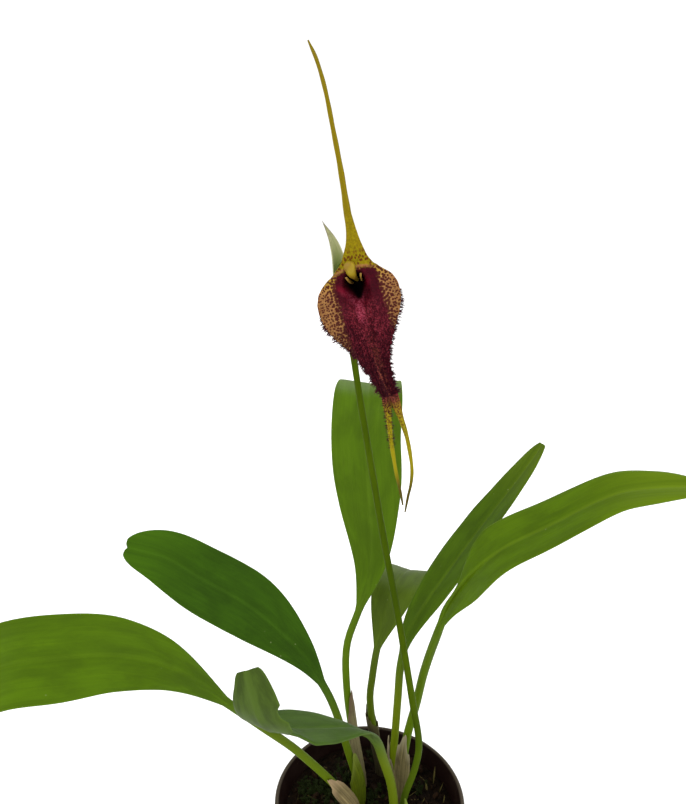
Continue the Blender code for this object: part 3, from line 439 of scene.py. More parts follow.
class Value:
    """A shader socket that takes part in Python arithmetic."""

    def __init__(self, paint, socket):
        self.paint = paint
        self.socket = socket

    def maths(self, operation, first, second=None):
        values = {0: first}
        if second is not None:
            values[1] = second
        return self.paint.node("ShaderNodeMath", {"operation": operation}, values)

    def __add__(self, other):
        return self.maths("ADD", self, other)

    def __radd__(self, other):
        return self.maths("ADD", other, self)

    def __sub__(self, other):
        return self.maths("SUBTRACT", self, other)

    def __rsub__(self, other):
        return self.maths("SUBTRACT", other, self)

    def __mul__(self, other):
        return self.maths("MULTIPLY", self, other)

    def __rmul__(self, other):
        return self.maths("MULTIPLY", other, self)

    def size(self):
        return self.maths("ABSOLUTE", self)

    def sine(self):
        return self.maths("SINE", self)

    def rise(self, low, high):
        """Smooth step from 0 at low to 1 at high."""
        settings = {"interpolation_type": "SMOOTHSTEP"}
        values = {"Value": self, "From Min": low, "From Max": high}
        return self.paint.node("ShaderNodeMapRange", settings, values)


class Paint:
    """One procedural finish: a material whose nodes are made through one method."""

    def __init__(self, name, roughness=0.5, **fixed):
        self.material = bpy.data.materials.new(name)
        self.material.use_nodes = True
        self.tree = self.material.node_tree
        self.shader = self.tree.nodes["Principled BSDF"]
        self.shader.inputs["Roughness"].default_value = roughness
        for key, value in fixed.items():
            socket = key.replace("_", " ").title().replace("Ior", "IOR")
            self.shader.inputs[socket].default_value = value

    def plug(self, socket, value):
        if isinstance(value, Value):
            self.tree.links.new(value.socket, socket)
        elif isinstance(value, tuple) and len(value) == 3 and socket.type == "RGBA":
            socket.default_value = (*value, 1.0)
        else:
            socket.default_value = value

    def node(self, kind, settings=None, values=None, output=0):
        made = self.tree.nodes.new(kind)
        for key, value in (settings or {}).items():
            setattr(made, key, value)
        for key, value in (values or {}).items():
            self.plug(made.inputs[key], value)
        return Value(self, made.outputs[output])

    def attribute(self, name):
        return self.node("ShaderNodeAttribute", {"attribute_name": name}, output="Fac")

    def place(self, across=1.0, along=1.0, upward=1.0):
        """Object coordinates in metres, stretched along each axis."""
        where = self.node("ShaderNodeTexCoord", output="Object")
        values = {0: where, 1: (across, along, upward)}
        return self.node("ShaderNodeVectorMath", {"operation": "MULTIPLY"}, values)

    def pack(self, x, y, z=0.0):
        return self.node("ShaderNodeCombineXYZ", None, {0: x, 1: y, 2: z})

    def noise(self, scale, detail=3.0, rough=0.5, where=None, warp=0.0):
        values = {"Scale": scale, "Detail": detail, "Roughness": rough, "Distortion": warp}
        values["Vector"] = where or self.place()
        return self.node("ShaderNodeTexNoise", None, values)

    def cells(self, scale, where=None, randomness=1.0):
        """Distance to the nearest cell centre, in a plane where a flat position is given."""
        settings = {"voronoi_dimensions": "2D" if where else "3D"}
        values = {"Scale": scale, "Vector": where or self.place(), "Randomness": randomness}
        return self.node("ShaderNodeTexVoronoi", settings, values)

    def mix(self, factor, first, second):
        values = {0: factor, 6: first, 7: second}
        return self.node("ShaderNodeMix", {"data_type": "RGBA"}, values, 2)

    def finish(self, colour, roughness=None, height=None, depth=0.0002, strength=0.6):
        self.plug(self.shader.inputs["Base Color"], colour)
        if roughness is not None:
            self.plug(self.shader.inputs["Roughness"], roughness)
        if height is not None:
            bump = {"Height": height, "Distance": depth, "Strength": strength}
            self.plug(self.shader.inputs["Normal"], self.node("ShaderNodeBump", None, bump))
        return self.material


def shaded(colour, factor, lift=0.0):
    return tuple(c * factor + lift for c in colour)


def leaf_paint(name, blade, stalk, tip, under, rib):
    """Fleshy leaf: fine parallel veins, a faint pale midrib that on some leaves is also a painted sheen, and
    a slightly bleached margin.
    """
    paint = Paint(name, specular_ior_level=0.06)
    across = paint.attribute("across")
    along = paint.attribute("along")
    upper = paint.attribute("upper")
    reach = paint.attribute("reach")
    broad = paint.noise(38.0, 3.0)
    fine = paint.noise(420.0, 4.0, 0.6)
    grain = paint.noise(1.0, 3.0, 0.55, paint.pack(across * 26.0, along * 5.0))
    veins = paint.noise(1.0, 2.0, 0.5, paint.pack(across * reach * 1.3, along * 2.5, upper))
    patch = paint.noise(1.0, 4.0, 0.6, paint.pack(across * 1.6, along * 6.0, upper), warp=0.4)
    deep = shaded(blade, 0.74)
    pale = shaded(tip, 1.3, 0.006)
    colour = paint.mix(patch.rise(0.35, 0.65), blade, deep)
    colour = paint.mix(along.rise(0.66, 1.0) * 0.8, colour, tip)
    colour = paint.mix(veins.rise(0.4, 0.66) * 0.22, colour, shaded(blade, 0.6))
    colour = paint.mix(grain.rise(0.45, 0.8) * 0.2, colour, tip)
    side = (across * reach).size()
    middle = 1.0 - side.rise(0.1, 0.9)
    flank = side.rise(0.3, 1.2) * (1.0 - side.rise(1.2, 3.4))
    colour = paint.mix(flank * upper * along.rise(0.02, 0.2) * 0.22, colour, shaded(blade, 0.55))
    # pale band along the midrib: its own paler colour, and on some leaves also a painted sheen
    colour = paint.mix(middle * upper * along.rise(0.05, 0.35) * rib, colour, pale)
    low = paint.mix(patch.rise(0.35, 0.65), under, shaded(under, 0.6))
    low = paint.mix(middle * 0.18, low, shaded(under, 1.4, 0.006))
    colour = paint.mix(1.0 - upper, colour, low)
    edge = across.size().rise(0.95, 1.0)
    colour = paint.mix(edge * 0.3 * along.rise(0.0, 0.1), colour, pale)
    petiole = paint.mix(grain, stalk, shaded(stalk, 0.75))
    colour = paint.mix(1.0 - along.rise(-0.15, 0.14), colour, petiole)
    specks = 1.0 - paint.cells(300.0).rise(0.03, 0.1)
    colour = paint.mix(specks * broad.rise(0.55, 0.6) * 0.5, colour, (0.2, 0.24, 0.1))
    height = veins * 0.5 + grain * 0.35 + fine * 0.3 - middle * upper * 0.5
    return paint.finish(colour, LEAF_ROUGHNESS + fine * 0.14 + broad * 0.1, height, 0.00022, 0.5)


def stalk_paint(name, colour, deep, scale=1.0):
    """Smooth green stem with lengthwise streaks."""
    paint = Paint(name, specular_ior_level=0.015)
    along = paint.attribute("along")
    broad = paint.noise(60.0 * scale, 3.0)
    streak = paint.noise(1.0, 3.0, 0.5, paint.place(1500.0, 1500.0, 90.0))
    shade = paint.mix(broad.rise(0.3, 0.7), colour, deep)
    shade = paint.mix(streak.rise(0.45, 0.8) * 0.45, shade, shaded(deep, 0.6))
    shade = paint.mix((1.0 - along.rise(0.02, 0.3)) * 0.6, shade, shaded(colour, 1.35, 0.008))
    return paint.finish(shade, 0.4 + streak * 0.15, streak + broad * 0.4, 0.00012, 0.5)


def papery_paint(name, fibre_tone, dark, torn):
    """Dry sheath: lengthwise fibres, brown stains and a bleached, torn mouth."""
    paint = Paint(name, specular_ior_level=0.1)
    along = paint.attribute("along")
    around = paint.attribute("around")
    fibre = paint.noise(1.0, 4.0, 0.6, paint.pack((around * 6.2832).sine() * 6.0, around * 14.0, along * 0.7))
    lines = paint.noise(1.0, 2.0, 0.5, paint.pack(around * 46.0, along * 1.6))
    stain = paint.noise(170.0, 4.0, 0.6)
    colour = paint.mix(fibre.rise(0.35, 0.65), fibre_tone, dark)
    colour = paint.mix(lines.rise(0.5, 0.62) * 0.55, colour, shaded(dark, 0.45))
    colour = paint.mix(stain.rise(0.5, 0.75) * 0.6, colour, shaded(dark, 0.5))
    colour = paint.mix(along.rise(0.7, 1.0) * 0.75, colour, torn)
    colour = paint.mix((1.0 - along.rise(0.0, 0.2)) * 0.6, colour, (0.03, 0.02, 0.012))
    return paint.finish(colour, 0.6 + fibre * 0.25, lines + fibre * 0.7 + stain * 0.3, 0.0003, 0.9)


def sepal_paint():
    """Maroon bed in a spotted tan frame, yellow above, with yellow to brown tails."""
    paint = Paint("sepal_flesh", specular_ior_level=0.06, subsurface_weight=0.04, subsurface_scale=0.002)
    x = paint.attribute("wide")
    y = paint.attribute("height")
    bed = paint.attribute("bed")
    glow = paint.attribute("glow")
    front = paint.attribute("front")
    pit = paint.attribute("pit")
    tail = paint.attribute("tail")
    flat = paint.pack(x, y, front * 9.0)
    wobble = paint.noise(0.9, 3.0, 0.5, flat) - 0.5
    fine = paint.noise(4.5, 3.0, 0.6, flat)
    mottle = paint.noise(2.2, 4.0, 0.65, flat, warp=0.6)
    lines = paint.pack(x * 2.3 + wobble * 2.0, y * 0.62, front * 5.0)
    streak = paint.noise(1.0, 3.0, 0.6, lines, warp=0.8)
    net = (streak - 0.5).size()

    frame_in = (0.0 - bed).rise(0.0, 3.5)
    tan = paint.mix(wobble + 0.5, (0.36, 0.2, 0.065), (0.3, 0.12, 0.04))
    gold = (y - x.size() * 0.25).rise(-1.5, 2.5)
    tan = paint.mix(gold * 0.8, tan, (0.33, 0.21, 0.02))
    yellow = paint.mix(mottle.rise(0.35, 0.65), (0.22, 0.165, 0.001), (0.15, 0.11, 0.001))
    maroon = paint.mix(mottle.rise(0.38, 0.62), (0.036, 0.0006, 0.0036), (0.074, 0.0014, 0.008))
    pink = (1.0 - net.rise(0.015, 0.075)) * (3.0 - y).rise(3.0, 9.0)
    maroon = paint.mix(pink * 0.75 * fine.rise(0.35, 0.55), maroon, (0.28, 0.032, 0.05))
    maroon = paint.mix((1.0 - fine.rise(0.4, 0.52)) * 0.75, maroon, (0.014, 0.0006, 0.002))

    reach = 0.24 + (1.0 - frame_in) * 0.22
    spot = (paint.cells(1.55, flat, randomness=0.8) - reach).rise(0.0, 0.14)
    scrawl = (paint.noise(2.4, 1.0, 0.5, flat, warp=2.6) - 0.5).size().rise(0.02, 0.07)
    low = (2.5 - y).rise(0.0, 3.0)
    marks = 1.0 - spot * (1.0 - (1.0 - scrawl) * low)
    flank = paint.mix(marks * 0.95, tan, (0.04, 0.003, 0.005))
    freckle = (paint.cells(1.5, paint.pack(x, y * 0.7), randomness=0.95) - 0.27).rise(0.0, 0.12)
    freckle = (1.0 - freckle) * (1.0 - (y + wobble * 4.0).rise(7.0, 11.0))
    hood = paint.mix(freckle * 0.9, yellow, (0.08, 0.016, 0.002))
    blush = (1.0 - (bed + 0.35 + wobble).size().rise(0.05, 0.6)) * y.rise(2.0, 3.6)
    hood = paint.mix(blush * 0.75, hood, (0.28, 0.12, 0.045))

    rim = (x + 0.4).size().rise(1.8, 4.6) * (y + 13.0).rise(0.0, 6.0)
    maroon = paint.mix(rim * 0.5, maroon, (0.03, 0.0008, 0.005))
    colour = paint.mix((bed + wobble * 1.6).rise(-0.45, 0.5), flank, maroon)
    sheen = fine.rise(0.42, 0.6) * (1.5 - y).rise(0.0, 4.0)
    crimson = paint.mix(sheen, (0.13, 0.0015, 0.012), (0.36, 0.06, 0.1))
    colour = paint.mix(glow * 0.85, colour, crimson)
    seam = (1.0 - (x - 0.2 + (y + 14.0) * -0.02).size().rise(0.1, 1.7)) * (0.0 - y).rise(9.0, 22.0)
    colour = paint.mix(seam * mottle.rise(0.4, 0.6) * 0.7, colour, (0.3, 0.09, 0.045))
    top = (y + x.size() * 0.12 + wobble * 1.2).rise(4.6, 5.6) * (0.4 - bed).rise(0.0, 0.5)
    colour = paint.mix(top, colour, hood)
    # painted shade: the throat of the sepal tube is darkened to nearly black
    colour = paint.mix(pit, colour, (0.003, 0.0006, 0.0008))

    end = tail.size()
    lower = paint.mix(end.rise(0.0, 0.25), (0.16, 0.07, 0.012), (0.24, 0.2, 0.004))
    dots = (1.0 - (paint.cells(2100.0) - 0.36).rise(0.0, 0.16)) * (0.6 - end).rise(0.0, 0.6)
    lower = paint.mix(dots, lower, (0.06, 0.006, 0.006))
    lower = paint.mix(end.rise(0.6, 0.85), lower, (0.07, 0.055, 0.004))
    upper = paint.mix(end.rise(0.45, 1.0), yellow, (0.16, 0.12, 0.003))
    upper = paint.mix(paint.noise(420.0).rise(0.5, 0.7) * 0.4, upper, (0.16, 0.09, 0.002))
    colour = paint.mix(tail.rise(0.0, 0.05), colour, upper)
    colour = paint.mix((0.0 - tail).rise(0.0, 0.1), colour, lower)

    back = paint.mix(mottle.rise(0.4, 0.62), (0.26, 0.16, 0.03), (0.13, 0.03, 0.02))
    back = paint.mix((0.0 - y).rise(2.0, 14.0) * 0.75, back, (0.09, 0.01, 0.015))
    back = paint.mix(y.rise(3.0, 7.0), back, yellow)
    colour = paint.mix((1.0 - front) * (1.0 - end.rise(0.0, 0.08)), colour, back)
    height = streak * 0.7 + mottle * 0.6 + fine * 0.6 - marks * 0.15
    return paint.finish(colour, 0.5 + mottle * 0.2, height, 0.00025, 0.8)


def hair_paint():
    """Maroon hairs, a little lighter at the tips."""
    paint = Paint("sepal_hair", roughness=0.55, specular_ior_level=0.1)
    rise = paint.attribute("along")
    shade = paint.mix(paint.noise(600.0), (0.012, 0.001, 0.003), (0.045, 0.002, 0.009))
    return paint.finish(paint.mix(rise.rise(0.3, 1.0) * 0.4, shade, (0.09, 0.012, 0.022)))


def waxy_paint(name, base, deep):
    """Smooth waxy flesh of the petals and the column, faintly clouded."""
    paint = Paint(name, specular_ior_level=0.2)
    cloud = paint.noise(500.0, 3.0)
    fine = paint.noise(1800.0, 2.0)
    colour = paint.mix(cloud.rise(0.35, 0.65), base, deep)
    return paint.finish(colour, 0.35 + fine * 0.2, fine + cloud, 0.0001, 0.4)


def bract_paint():
    """Pale green bract that dries to straw towards its point."""
    paint = Paint("bract_skin", specular_ior_level=0.12)
    along = paint.attribute("along")
    around = paint.attribute("around")
    lines = paint.noise(1.0, 3.0, 0.5, paint.pack(around * 40.0, along * 2.0))
    cloud = paint.noise(300.0, 3.0)
    colour = paint.mix(along.rise(0.3, 0.8), (0.13, 0.17, 0.03), (0.36, 0.36, 0.19))
    colour = paint.mix(lines.rise(0.45, 0.65) * 0.5, colour, (0.14, 0.17, 0.045))
    colour = paint.mix(cloud.rise(0.55, 0.7) * 0.5, colour, (0.17, 0.15, 0.08))
    colour = paint.mix(along.rise(0.85, 1.0), colour, (0.16, 0.13, 0.08))
    return paint.finish(colour, 0.5 + cloud * 0.2, lines + cloud * 0.4, 0.0002, 0.7)


def pot_paint():
    """Thin moulded plastic, dark brown, with dust, scuffs, a hint of flow lines and a painted highlight round
    the top of the rim.
    """
    paint = Paint("pot_plastic_skin", specular_ior_level=0.08)
    rings = paint.noise(1.0, 3.0, 0.6, paint.place(30.0, 30.0, 900.0))
    dust = paint.noise(90.0, 5.0, 0.65)
    scuff = paint.noise(1.0, 4.0, 0.7, paint.place(160.0, 160.0, 1600.0), warp=0.4)
    speck = 1.0 - paint.cells(420.0).rise(0.04, 0.12)
    colour = paint.mix(dust.rise(0.4, 0.7), (0.007, 0.0028, 0.0022), (0.013, 0.0065, 0.005))
    colour = paint.mix(scuff.rise(0.62, 0.8) * 0.5, colour, (0.045, 0.035, 0.028))
    colour = paint.mix(speck * dust.rise(0.5, 0.6) * 0.5, colour, (0.08, 0.06, 0.04))
    # painted highlight: a lighter band round the top of the rolled lip, above about 59.4 mm
    where = paint.node("ShaderNodeTexCoord", output="Object")
    rise = paint.node("ShaderNodeSeparateXYZ", None, {0: where}, 2)
    colour = paint.mix(rise.rise(0.0594, 0.0599) * 0.7, colour, (0.055, 0.043, 0.028))
    roughness = 0.26 + dust * 0.22 + scuff * 0.12
    return paint.finish(colour, roughness, rings * 0.6 + scuff * 0.3 + dust, 0.00012, 0.5)


def medium_paint():
    """Damp bark humus with green film on the lumps; the hollows of its bump are painted nearly black as
    painted shade.
    """
    paint = Paint("medium_humus", specular_ior_level=0.03)
    broad = paint.noise(75.0, 4.0, 0.6)
    crumb_and_shade = paint.noise(520.0, 5.0, 0.7)
    grain = paint.cells(620.0)
    lump = paint.attribute("lump")
    # random crumb tone of the humus; it is also the bump's height, so it paints shade into the hollows
    colour = paint.mix(crumb_and_shade.rise(0.35, 0.65), (0.0015, 0.001, 0.0006), (0.009, 0.0048, 0.0022))
    colour = paint.mix(grain.rise(0.3, 0.8) * 0.4, colour, (0.008, 0.005, 0.003))
    green = (broad - 0.08 + lump * 0.25).rise(0.5, 0.66) * crumb_and_shade.rise(0.36, 0.55)
    colour = paint.mix(green * 0.6, colour, (0.012, 0.02, 0.004))
    pale = 1.0 - paint.cells(380.0).rise(0.05, 0.13)
    colour = paint.mix(pale * crumb_and_shade.rise(0.45, 0.6) * 0.6, colour, (0.09, 0.06, 0.03))
    return paint.finish(colour, 0.55 + crumb_and_shade * 0.35, crumb_and_shade + grain * 0.6, 0.0008, 0.9)


def bark_paint():
    """Dark, wet, banded bark."""
    paint = Paint("bark_chip", specular_ior_level=0.04)
    bands = paint.noise(1.0, 4.0, 0.65, paint.place(900.0, 300.0, 700.0), warp=0.5)
    cloud = paint.noise(210.0, 3.0)
    colour = paint.mix(bands.rise(0.35, 0.65), (0.003, 0.0017, 0.001), (0.018, 0.009, 0.004))
    colour = paint.mix(cloud.rise(0.55, 0.7) * 0.5, colour, (0.01, 0.013, 0.003))
    return paint.finish(colour, 0.6 + bands * 0.25, bands + cloud * 0.4, 0.0005, 0.9)


def moss_paint(name, deep, light):
    """Moss or straw, lighter towards the tips."""
    paint = Paint(name, specular_ior_level=0.08)
    along = paint.attribute("along")
    cloud = paint.noise(260.0, 2.0)
    colour = paint.mix(along * 0.6 + cloud * 0.4, deep, light)
    return paint.finish(colour, 0.5 + cloud * 0.2)


def floor_paint():
    paint = Paint("studio_floor", roughness=0.75, specular_ior_level=0.2)
    cloud = paint.noise(6.0, 3.0)
    return paint.finish(paint.mix(cloud, (0.95, 0.95, 0.945), (0.98, 0.98, 0.975)))


def build(name, verts, faces, material, node, marks=None, flat=False):
    """Make a mesh piece in metres, fix its winding and hang it on the frame."""
    mesh = bpy.data.meshes.new(name)
    mesh.from_pydata([Vector(v) * MM for v in verts], [], faces)
    for mark, values in (marks or {}).items():
        mesh.attributes.new(mark, "FLOAT", "POINT").data.foreach_set("value", values)
    bm = bmesh.new()
    bm.from_mesh(mesh)
    bmesh.ops.recalc_face_normals(bm, faces=bm.faces)
    if bm.calc_volume(signed=True) < 0.0:
        bmesh.ops.reverse_faces(bm, faces=bm.faces)
    bm.to_mesh(mesh)
    bm.free()
    if not flat:
        mesh.shade_smooth()
        mesh.set_sharp_from_angle(angle=math.radians(60))
    piece = bpy.data.objects.new(name, mesh)
    bpy.context.scene.collection.objects.link(piece)
    mesh.materials.append(material)
    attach(piece, "root")
    if node:
        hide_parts(node)
    return piece


def bridge(faces, first, second, count):
    for i in range(count):
        j = (i + 1) % count
        faces.append((first + i, first + j, second + j, second + i))


def leaf_piece(name, spec, material):
    """One leaf: a round channelled stalk that opens into a keeled, bitten or notched blade."""
    spine = leaf_spine(spec)
    start = spine.near(spec["blade_path"][0]) - 0.04
    half = LEAF_HALF_COLUMNS
    us = [math.copysign(abs(i / half) ** 1.35, i) for i in range(-half, half + 1)]
    us = [-1.0, -0.985] + us[1:-1] + [0.985, 1.0]
    columns = len(us)
    stations = [start * i / STALK_ROWS for i in range(STALK_ROWS)]
    stations += [lerp(start, BLADE_END, 1.0 - (1.0 - i / BLADE_ROWS) ** 1.35) for i in range(BLADE_ROWS + 1)]
    verts = []
    faces = []
    marks = {"across": [], "along": [], "upper": [], "reach": []}
    for s in stations:
        t = (s - start) / (1.0 - start)
        tip = spec.get("tip_width", 0.13)
        grow = blade_profile(t, spec["widest"], tip, spec.get("tip_power", 2.3), spec.get("rise_power", 0.85))
        grow *= 1.0 + 0.004 * math.sin(27.0 * t + 2.0 * spec["waves"])
        blade = smooth(grow * 3.2)
        reach = max(spec["stalk"], spec["half_width"] * grow)
        position = spine.at(s)
        tangent, side, face = spine.frame(s, spec["faces"])
        ring = []
        for layer in (1.0, -1.0):
            for u in us if layer > 0.0 else reversed(us):
                width = reach
                for centre, span, edge, depth in spec.get("bites", ()):
                    if u * edge > 0.0:
                        notch = max(0.0, 1.0 - ((t - centre) / span) ** 2)
                        width *= 1.0 - depth * math.sqrt(notch) * (1.0 + 0.06 * math.sin(140.0 * t))
                for centre, span, edge, depth in spec.get("pinches", ()):
                    if u * edge > 0.0:
                        width *= 1.0 - depth * smooth(1.0 - abs(t - centre) / span)
                thin = math.sqrt(max(0.0, 1.0 - abs(u) ** 12)) * 0.9 + 0.1
                round_z = layer * spec["stalk"] * math.sqrt(max(0.02, 1.0 - u * u))
                trough = spec["fold"] * width * (abs(u) ** 1.25 - 0.85)
                ripple = math.sin(2 * math.pi * spec["waves"] * t + (1.0 if u > 0 else 2.4))
                trough += spec["wave"] * width * u * u * ripple * 2.0
                trough += 0.05 * u * u * math.sin(44.0 * t + 3.0 * u)
                inside = abs(u) * reach
                rib = max(0.0, 1.0 - inside / 1.3)
                skin = lerp(LEAF_MID, LEAF_EDGE, abs(u) ** 2) * thin
                if layer > 0.0:
                    groove = 0.2 * math.exp(-((inside / 0.42) ** 2)) * (1.0 - 0.6 * t)
                    pillow = 0.14 * math.exp(-(((inside - 2.2) / 1.6) ** 2))
                    flat_z = trough + skin - groove + pillow * 0.6
                else:
                    flat_z = trough - skin - 0.55 * rib * (1.0 - t)
                notch = spec.get("notch", 0.12) * math.exp(-((u / 0.3) ** 2)) * smooth((t - 0.97) / 0.03)
                point = position + side * (u * width) + face * lerp(round_z, flat_z, blade)
                ring.append(point - tangent * notch)
                marks["across"].append(u)
                marks["along"].append(t)
                marks["upper"].append(lerp(0.5, 1.0, blade) if layer > 0.0 else lerp(0.5, 0.0, blade))
                marks["reach"].append(width)
        base = len(verts)
        verts += ring
        if base:
            bridge(faces, base - 2 * columns, base, 2 * columns)
    last = len(verts) - 2 * columns
    for i in range(columns - 1):
        for base in (0, last):
            faces.append((base + i, base + i + 1, base + 2 * columns - 2 - i, base + 2 * columns - 1 - i))
    build(name + "_detail", verts, faces, material, name, marks)


def tube_piece(name, spine, stations, radius_at, hint, sides, material):
    """Closed round stem whose radius follows its length and its angle."""
    verts = []
    faces = []
    along = []
    for row, s in enumerate(stations):
        tangent, side, face = spine.frame(s, hint)
        centre = spine.at(s)
        for k in range(sides):
            angle = 2 * math.pi * k / sides
            verts.append(centre + (side * math.cos(angle) + face * math.sin(angle)) * radius_at(s, angle))
            along.append(s)
        if row:
            bridge(faces, (row - 1) * sides, row * sides, sides)
    verts += [spine.at(stations[0]), spine.at(stations[-1])]
    along += [stations[0], stations[-1]]
    top = (len(stations) - 1) * sides
    for k in range(sides):
        faces.append((len(verts) - 2, (k + 1) % sides, k))
        faces.append((len(verts) - 1, top + k, top + (k + 1) % sides))
    build(name + "_detail", verts, faces, material, name, {"along": along})


def sheath_piece(name, spine, low, high, spec, rows, sides, material):
    """Thin open tube round a stalk, creased, with a slanting ragged mouth."""
    verts = []
    faces = []
    marks = {"along": [], "around": []}
    seed = len(name + "_detail") * 3.7
    for skin in (spec.get("wall", 0.42), 0.0):
        for row in range(rows + 1):
            v = row / rows
            for k in range(sides):
                angle = 2 * math.pi * k / sides
                turn = 0.5 - 0.5 * math.cos(angle - spec["tall_side"])
                tip = lerp(high, lerp(low, high, spec["mouth"]), turn ** 0.8)
                ragged = noise(Vector((math.cos(angle) * 2.1, math.sin(angle) * 2.1, seed)))
                ragged += 0.3 * noise(Vector((math.cos(angle) * 6.0, math.sin(angle) * 6.0, seed)))
                tip = lerp(low, tip, 1.0 - 0.5 * spec["fray"] * max(0.0, 0.35 + ragged))
                s = lerp(low, tip, v)
                along = (s - low) / (high - low)
                tangent, side, face = spine.frame(s, spec["faces"])
                radius = spec["inner"] + spec["flare"] * along ** 2
                radius += spec["belly"] * math.sin(math.pi * along)
                crease = noise(Vector((math.cos(angle) * 2.4, math.sin(angle) * 2.4, along * 1.7 + seed)))
                crease = (0.22 * crease + 0.16 * max(0.0, crease)) * spec.get("crease", 1.0)
                radius += skin * lerp(1.0, 0.55, along) + crease
                radius = max(radius, spec["inner"] * 0.3)
                offset = (side * math.cos(angle) + face * math.sin(angle)) * radius
                verts.append(spine.at(s) + offset)
                marks["along"].append(v * max(0.0, along) ** 0.3)
                marks["around"].append(0.5 - 0.5 * math.cos(angle) + 0.13 * math.sin(angle))
    count = (rows + 1) * sides
    for layer in (0, 1):
        for row in range(rows):
            first = layer * count + row * sides
            bridge(faces, first, first + sides, sides)
    bridge(faces, 0, count, sides)
    bridge(faces, rows * sides, count + rows * sides, sides)
    build(name + "_detail", verts, faces, material, name, marks)


def throat_depth(x, y):
    """Depth of the sepal tube below the open face; it slopes gently on the lower side."""
    drop = 1.6 - y
    tall = lerp(2.9, 6.8, smooth(drop / 3.0))
    rho = math.hypot((x + 0.1) / (3.1 + 0.5 * smooth(drop / 2.0)), drop / tall)
    return TUBE_DEPTH * (1.0 - smooth((rho - 0.25) / 0.8))


def bed_inside(x, y):
    """How far a point lies inside the maroon bed, in millimetres."""
    return min(x + 5.1 - 1.2 * smooth((y - 1.0) / 4.0), 5.6 - x, 5.0 - 0.04 * x * x - y)


def throat_painted_shade(x, y):
    """Painted shade in the throat: nearly black, narrowing downwards to a point."""
    if y > 1.5:
        r = math.hypot((x + 0.3) / 2.25, (y - 1.5) / 3.0)
    else:
        r = abs(x + 0.4) / (2.25 * max(0.02, 1.0 - (1.5 - y) / 4.5) ** 0.7)
    return smooth((1.5 - r) / 0.9) * smooth((y + 3.1) / 0.8)


def bed_glow(x, y):
    """Bright V below the throat and the band that runs down from it."""
    spread = 0.62 * max(0.0, y + 3.6)
    off = abs(abs(x + 0.7) - spread)
    return (1.0 - smooth((off - 0.2) / 1.2)) * smooth((y + 9.5) / 3.5) * (1.0 - smooth((y - 0.6) / 2.4))


def sepal_margins(y):
    return table(MARGIN_LEFT, y), table(MARGIN_RIGHT, y)


def sepal_front(u, y):
    """Point of the sepals' front skin, u from the left margin (-1) to the right (1)."""
    left, right = sepal_margins(y)
    x = lerp(left, right, 0.5 + 0.5 * u)
    half = 0.5 * (right - left)
    low = smooth((-y - 5.0) / 9.0)
    dish = 0.16 * half * (u * u - 0.25) * (1.0 - low) * smooth((9.0 - y) / 6.0)
    roll = -0.35 * half * low * u * u
    keel = 0.45 * math.exp(-((u / 0.22) ** 2)) * smooth((-y - 2.5) / 5.0)
    curl = -1.1 * smooth((abs(u) - 0.72) / 0.28) * smooth((6.0 - abs(y + 2.0)) / 3.0)
    nod = -0.0042 * (y + 4.0) ** 2 * smooth((-y - 4.0) / 10.0)
    body = smooth((8.0 - y) / 4.0)
    ribs = 0.1 * math.cos(17.0 * u) * body * smooth((1.0 - abs(u)) * 6.0)
    welt = 0.4 * math.exp(-(((abs(u) - 0.6) / 0.09) ** 2)) * body * (1.0 - smooth((-y - 4.0) / 9.0))
    crimp = 0.22 * math.sin(2.6 * y + 2.0 * math.copysign(1.0, u)) * smooth((abs(u) - 0.7) / 0.3) * body
    lump = 0.22 * noise(Vector((x * 0.5, y * 0.5, 4.0))) * body
    relief = dish + roll + keel + curl + nod + ribs + welt + crimp + lump
    return bloom_point(x, y, relief - throat_depth(x, y))


def tube_floor():
    """Depth of the tube's floor in the frame's solids, where the ovary ends."""
    return -TUBE_DEPTH - 0.35


def sepal_normal(u, y):
    across = sepal_front(min(1.0, u + 0.02), y) - sepal_front(max(-1.0, u - 0.02), y)
    along = sepal_front(u, y + 0.05) - sepal_front(u, y - 0.05)
    return across.cross(along).normalized()


def round_ring(centre, side, face, radius, us):
    """Ring of front then back points on a round section, matching the body's columns."""
    ring = []
    for layer, columns in ((1.0, us), (-1.0, list(reversed(us)))):
        for u in columns:
            angle = 0.5 * math.pi * u * 0.97
            rise = face * (layer * radius * math.cos(angle))
            ring.append(centre + side * (radius * math.sin(angle)) + rise)
    return ring


def sepal_masks(x, y, front, tail):
    """Painting masks of one point, in the order of SEPAL_MASKS."""
    on_face = y < 8.0 and front > 0.5
    inner = (bed_inside(x, y), bed_glow(x, y), throat_painted_shade(x, y)) if on_face else (-5.0, 0.0, 0.0)
    return x, y, *inner, front, tail


def tail_frame(tangent):
    """Side and face directions of a tail that runs along the tangent."""
    out = bloom_axes()[2]
    face = (out - tangent * out.dot(tangent)).normalized()
    return tangent.cross(face), face


def upper_tail_rings(us, masks):
    """Rings of the upright tail, from its tip down to the top of the body."""
    left, right = sepal_margins(BODY_TOP)
    tail = Spine([bloom_point(0.5 * (left + right), BODY_TOP, -0.35)] + TAIL_TOP)
    rings = []
    for step in range(UPPER_TAIL_ROWS, 0, -1):
        s = step / UPPER_TAIL_ROWS
        side, face = tail_frame(tail.tangent(s))
        radius = table(UPPER_TAIL_RADII, s) * (1.0 + 0.05 * math.sin(37.0 * s))
        rings.append(round_ring(tail.at(s), side, face, radius, us))
        for front in (1.0, 0.0):
            for u in us if front else reversed(us):
                masks.append(sepal_masks(u, BODY_TOP, front, s))
    return rings


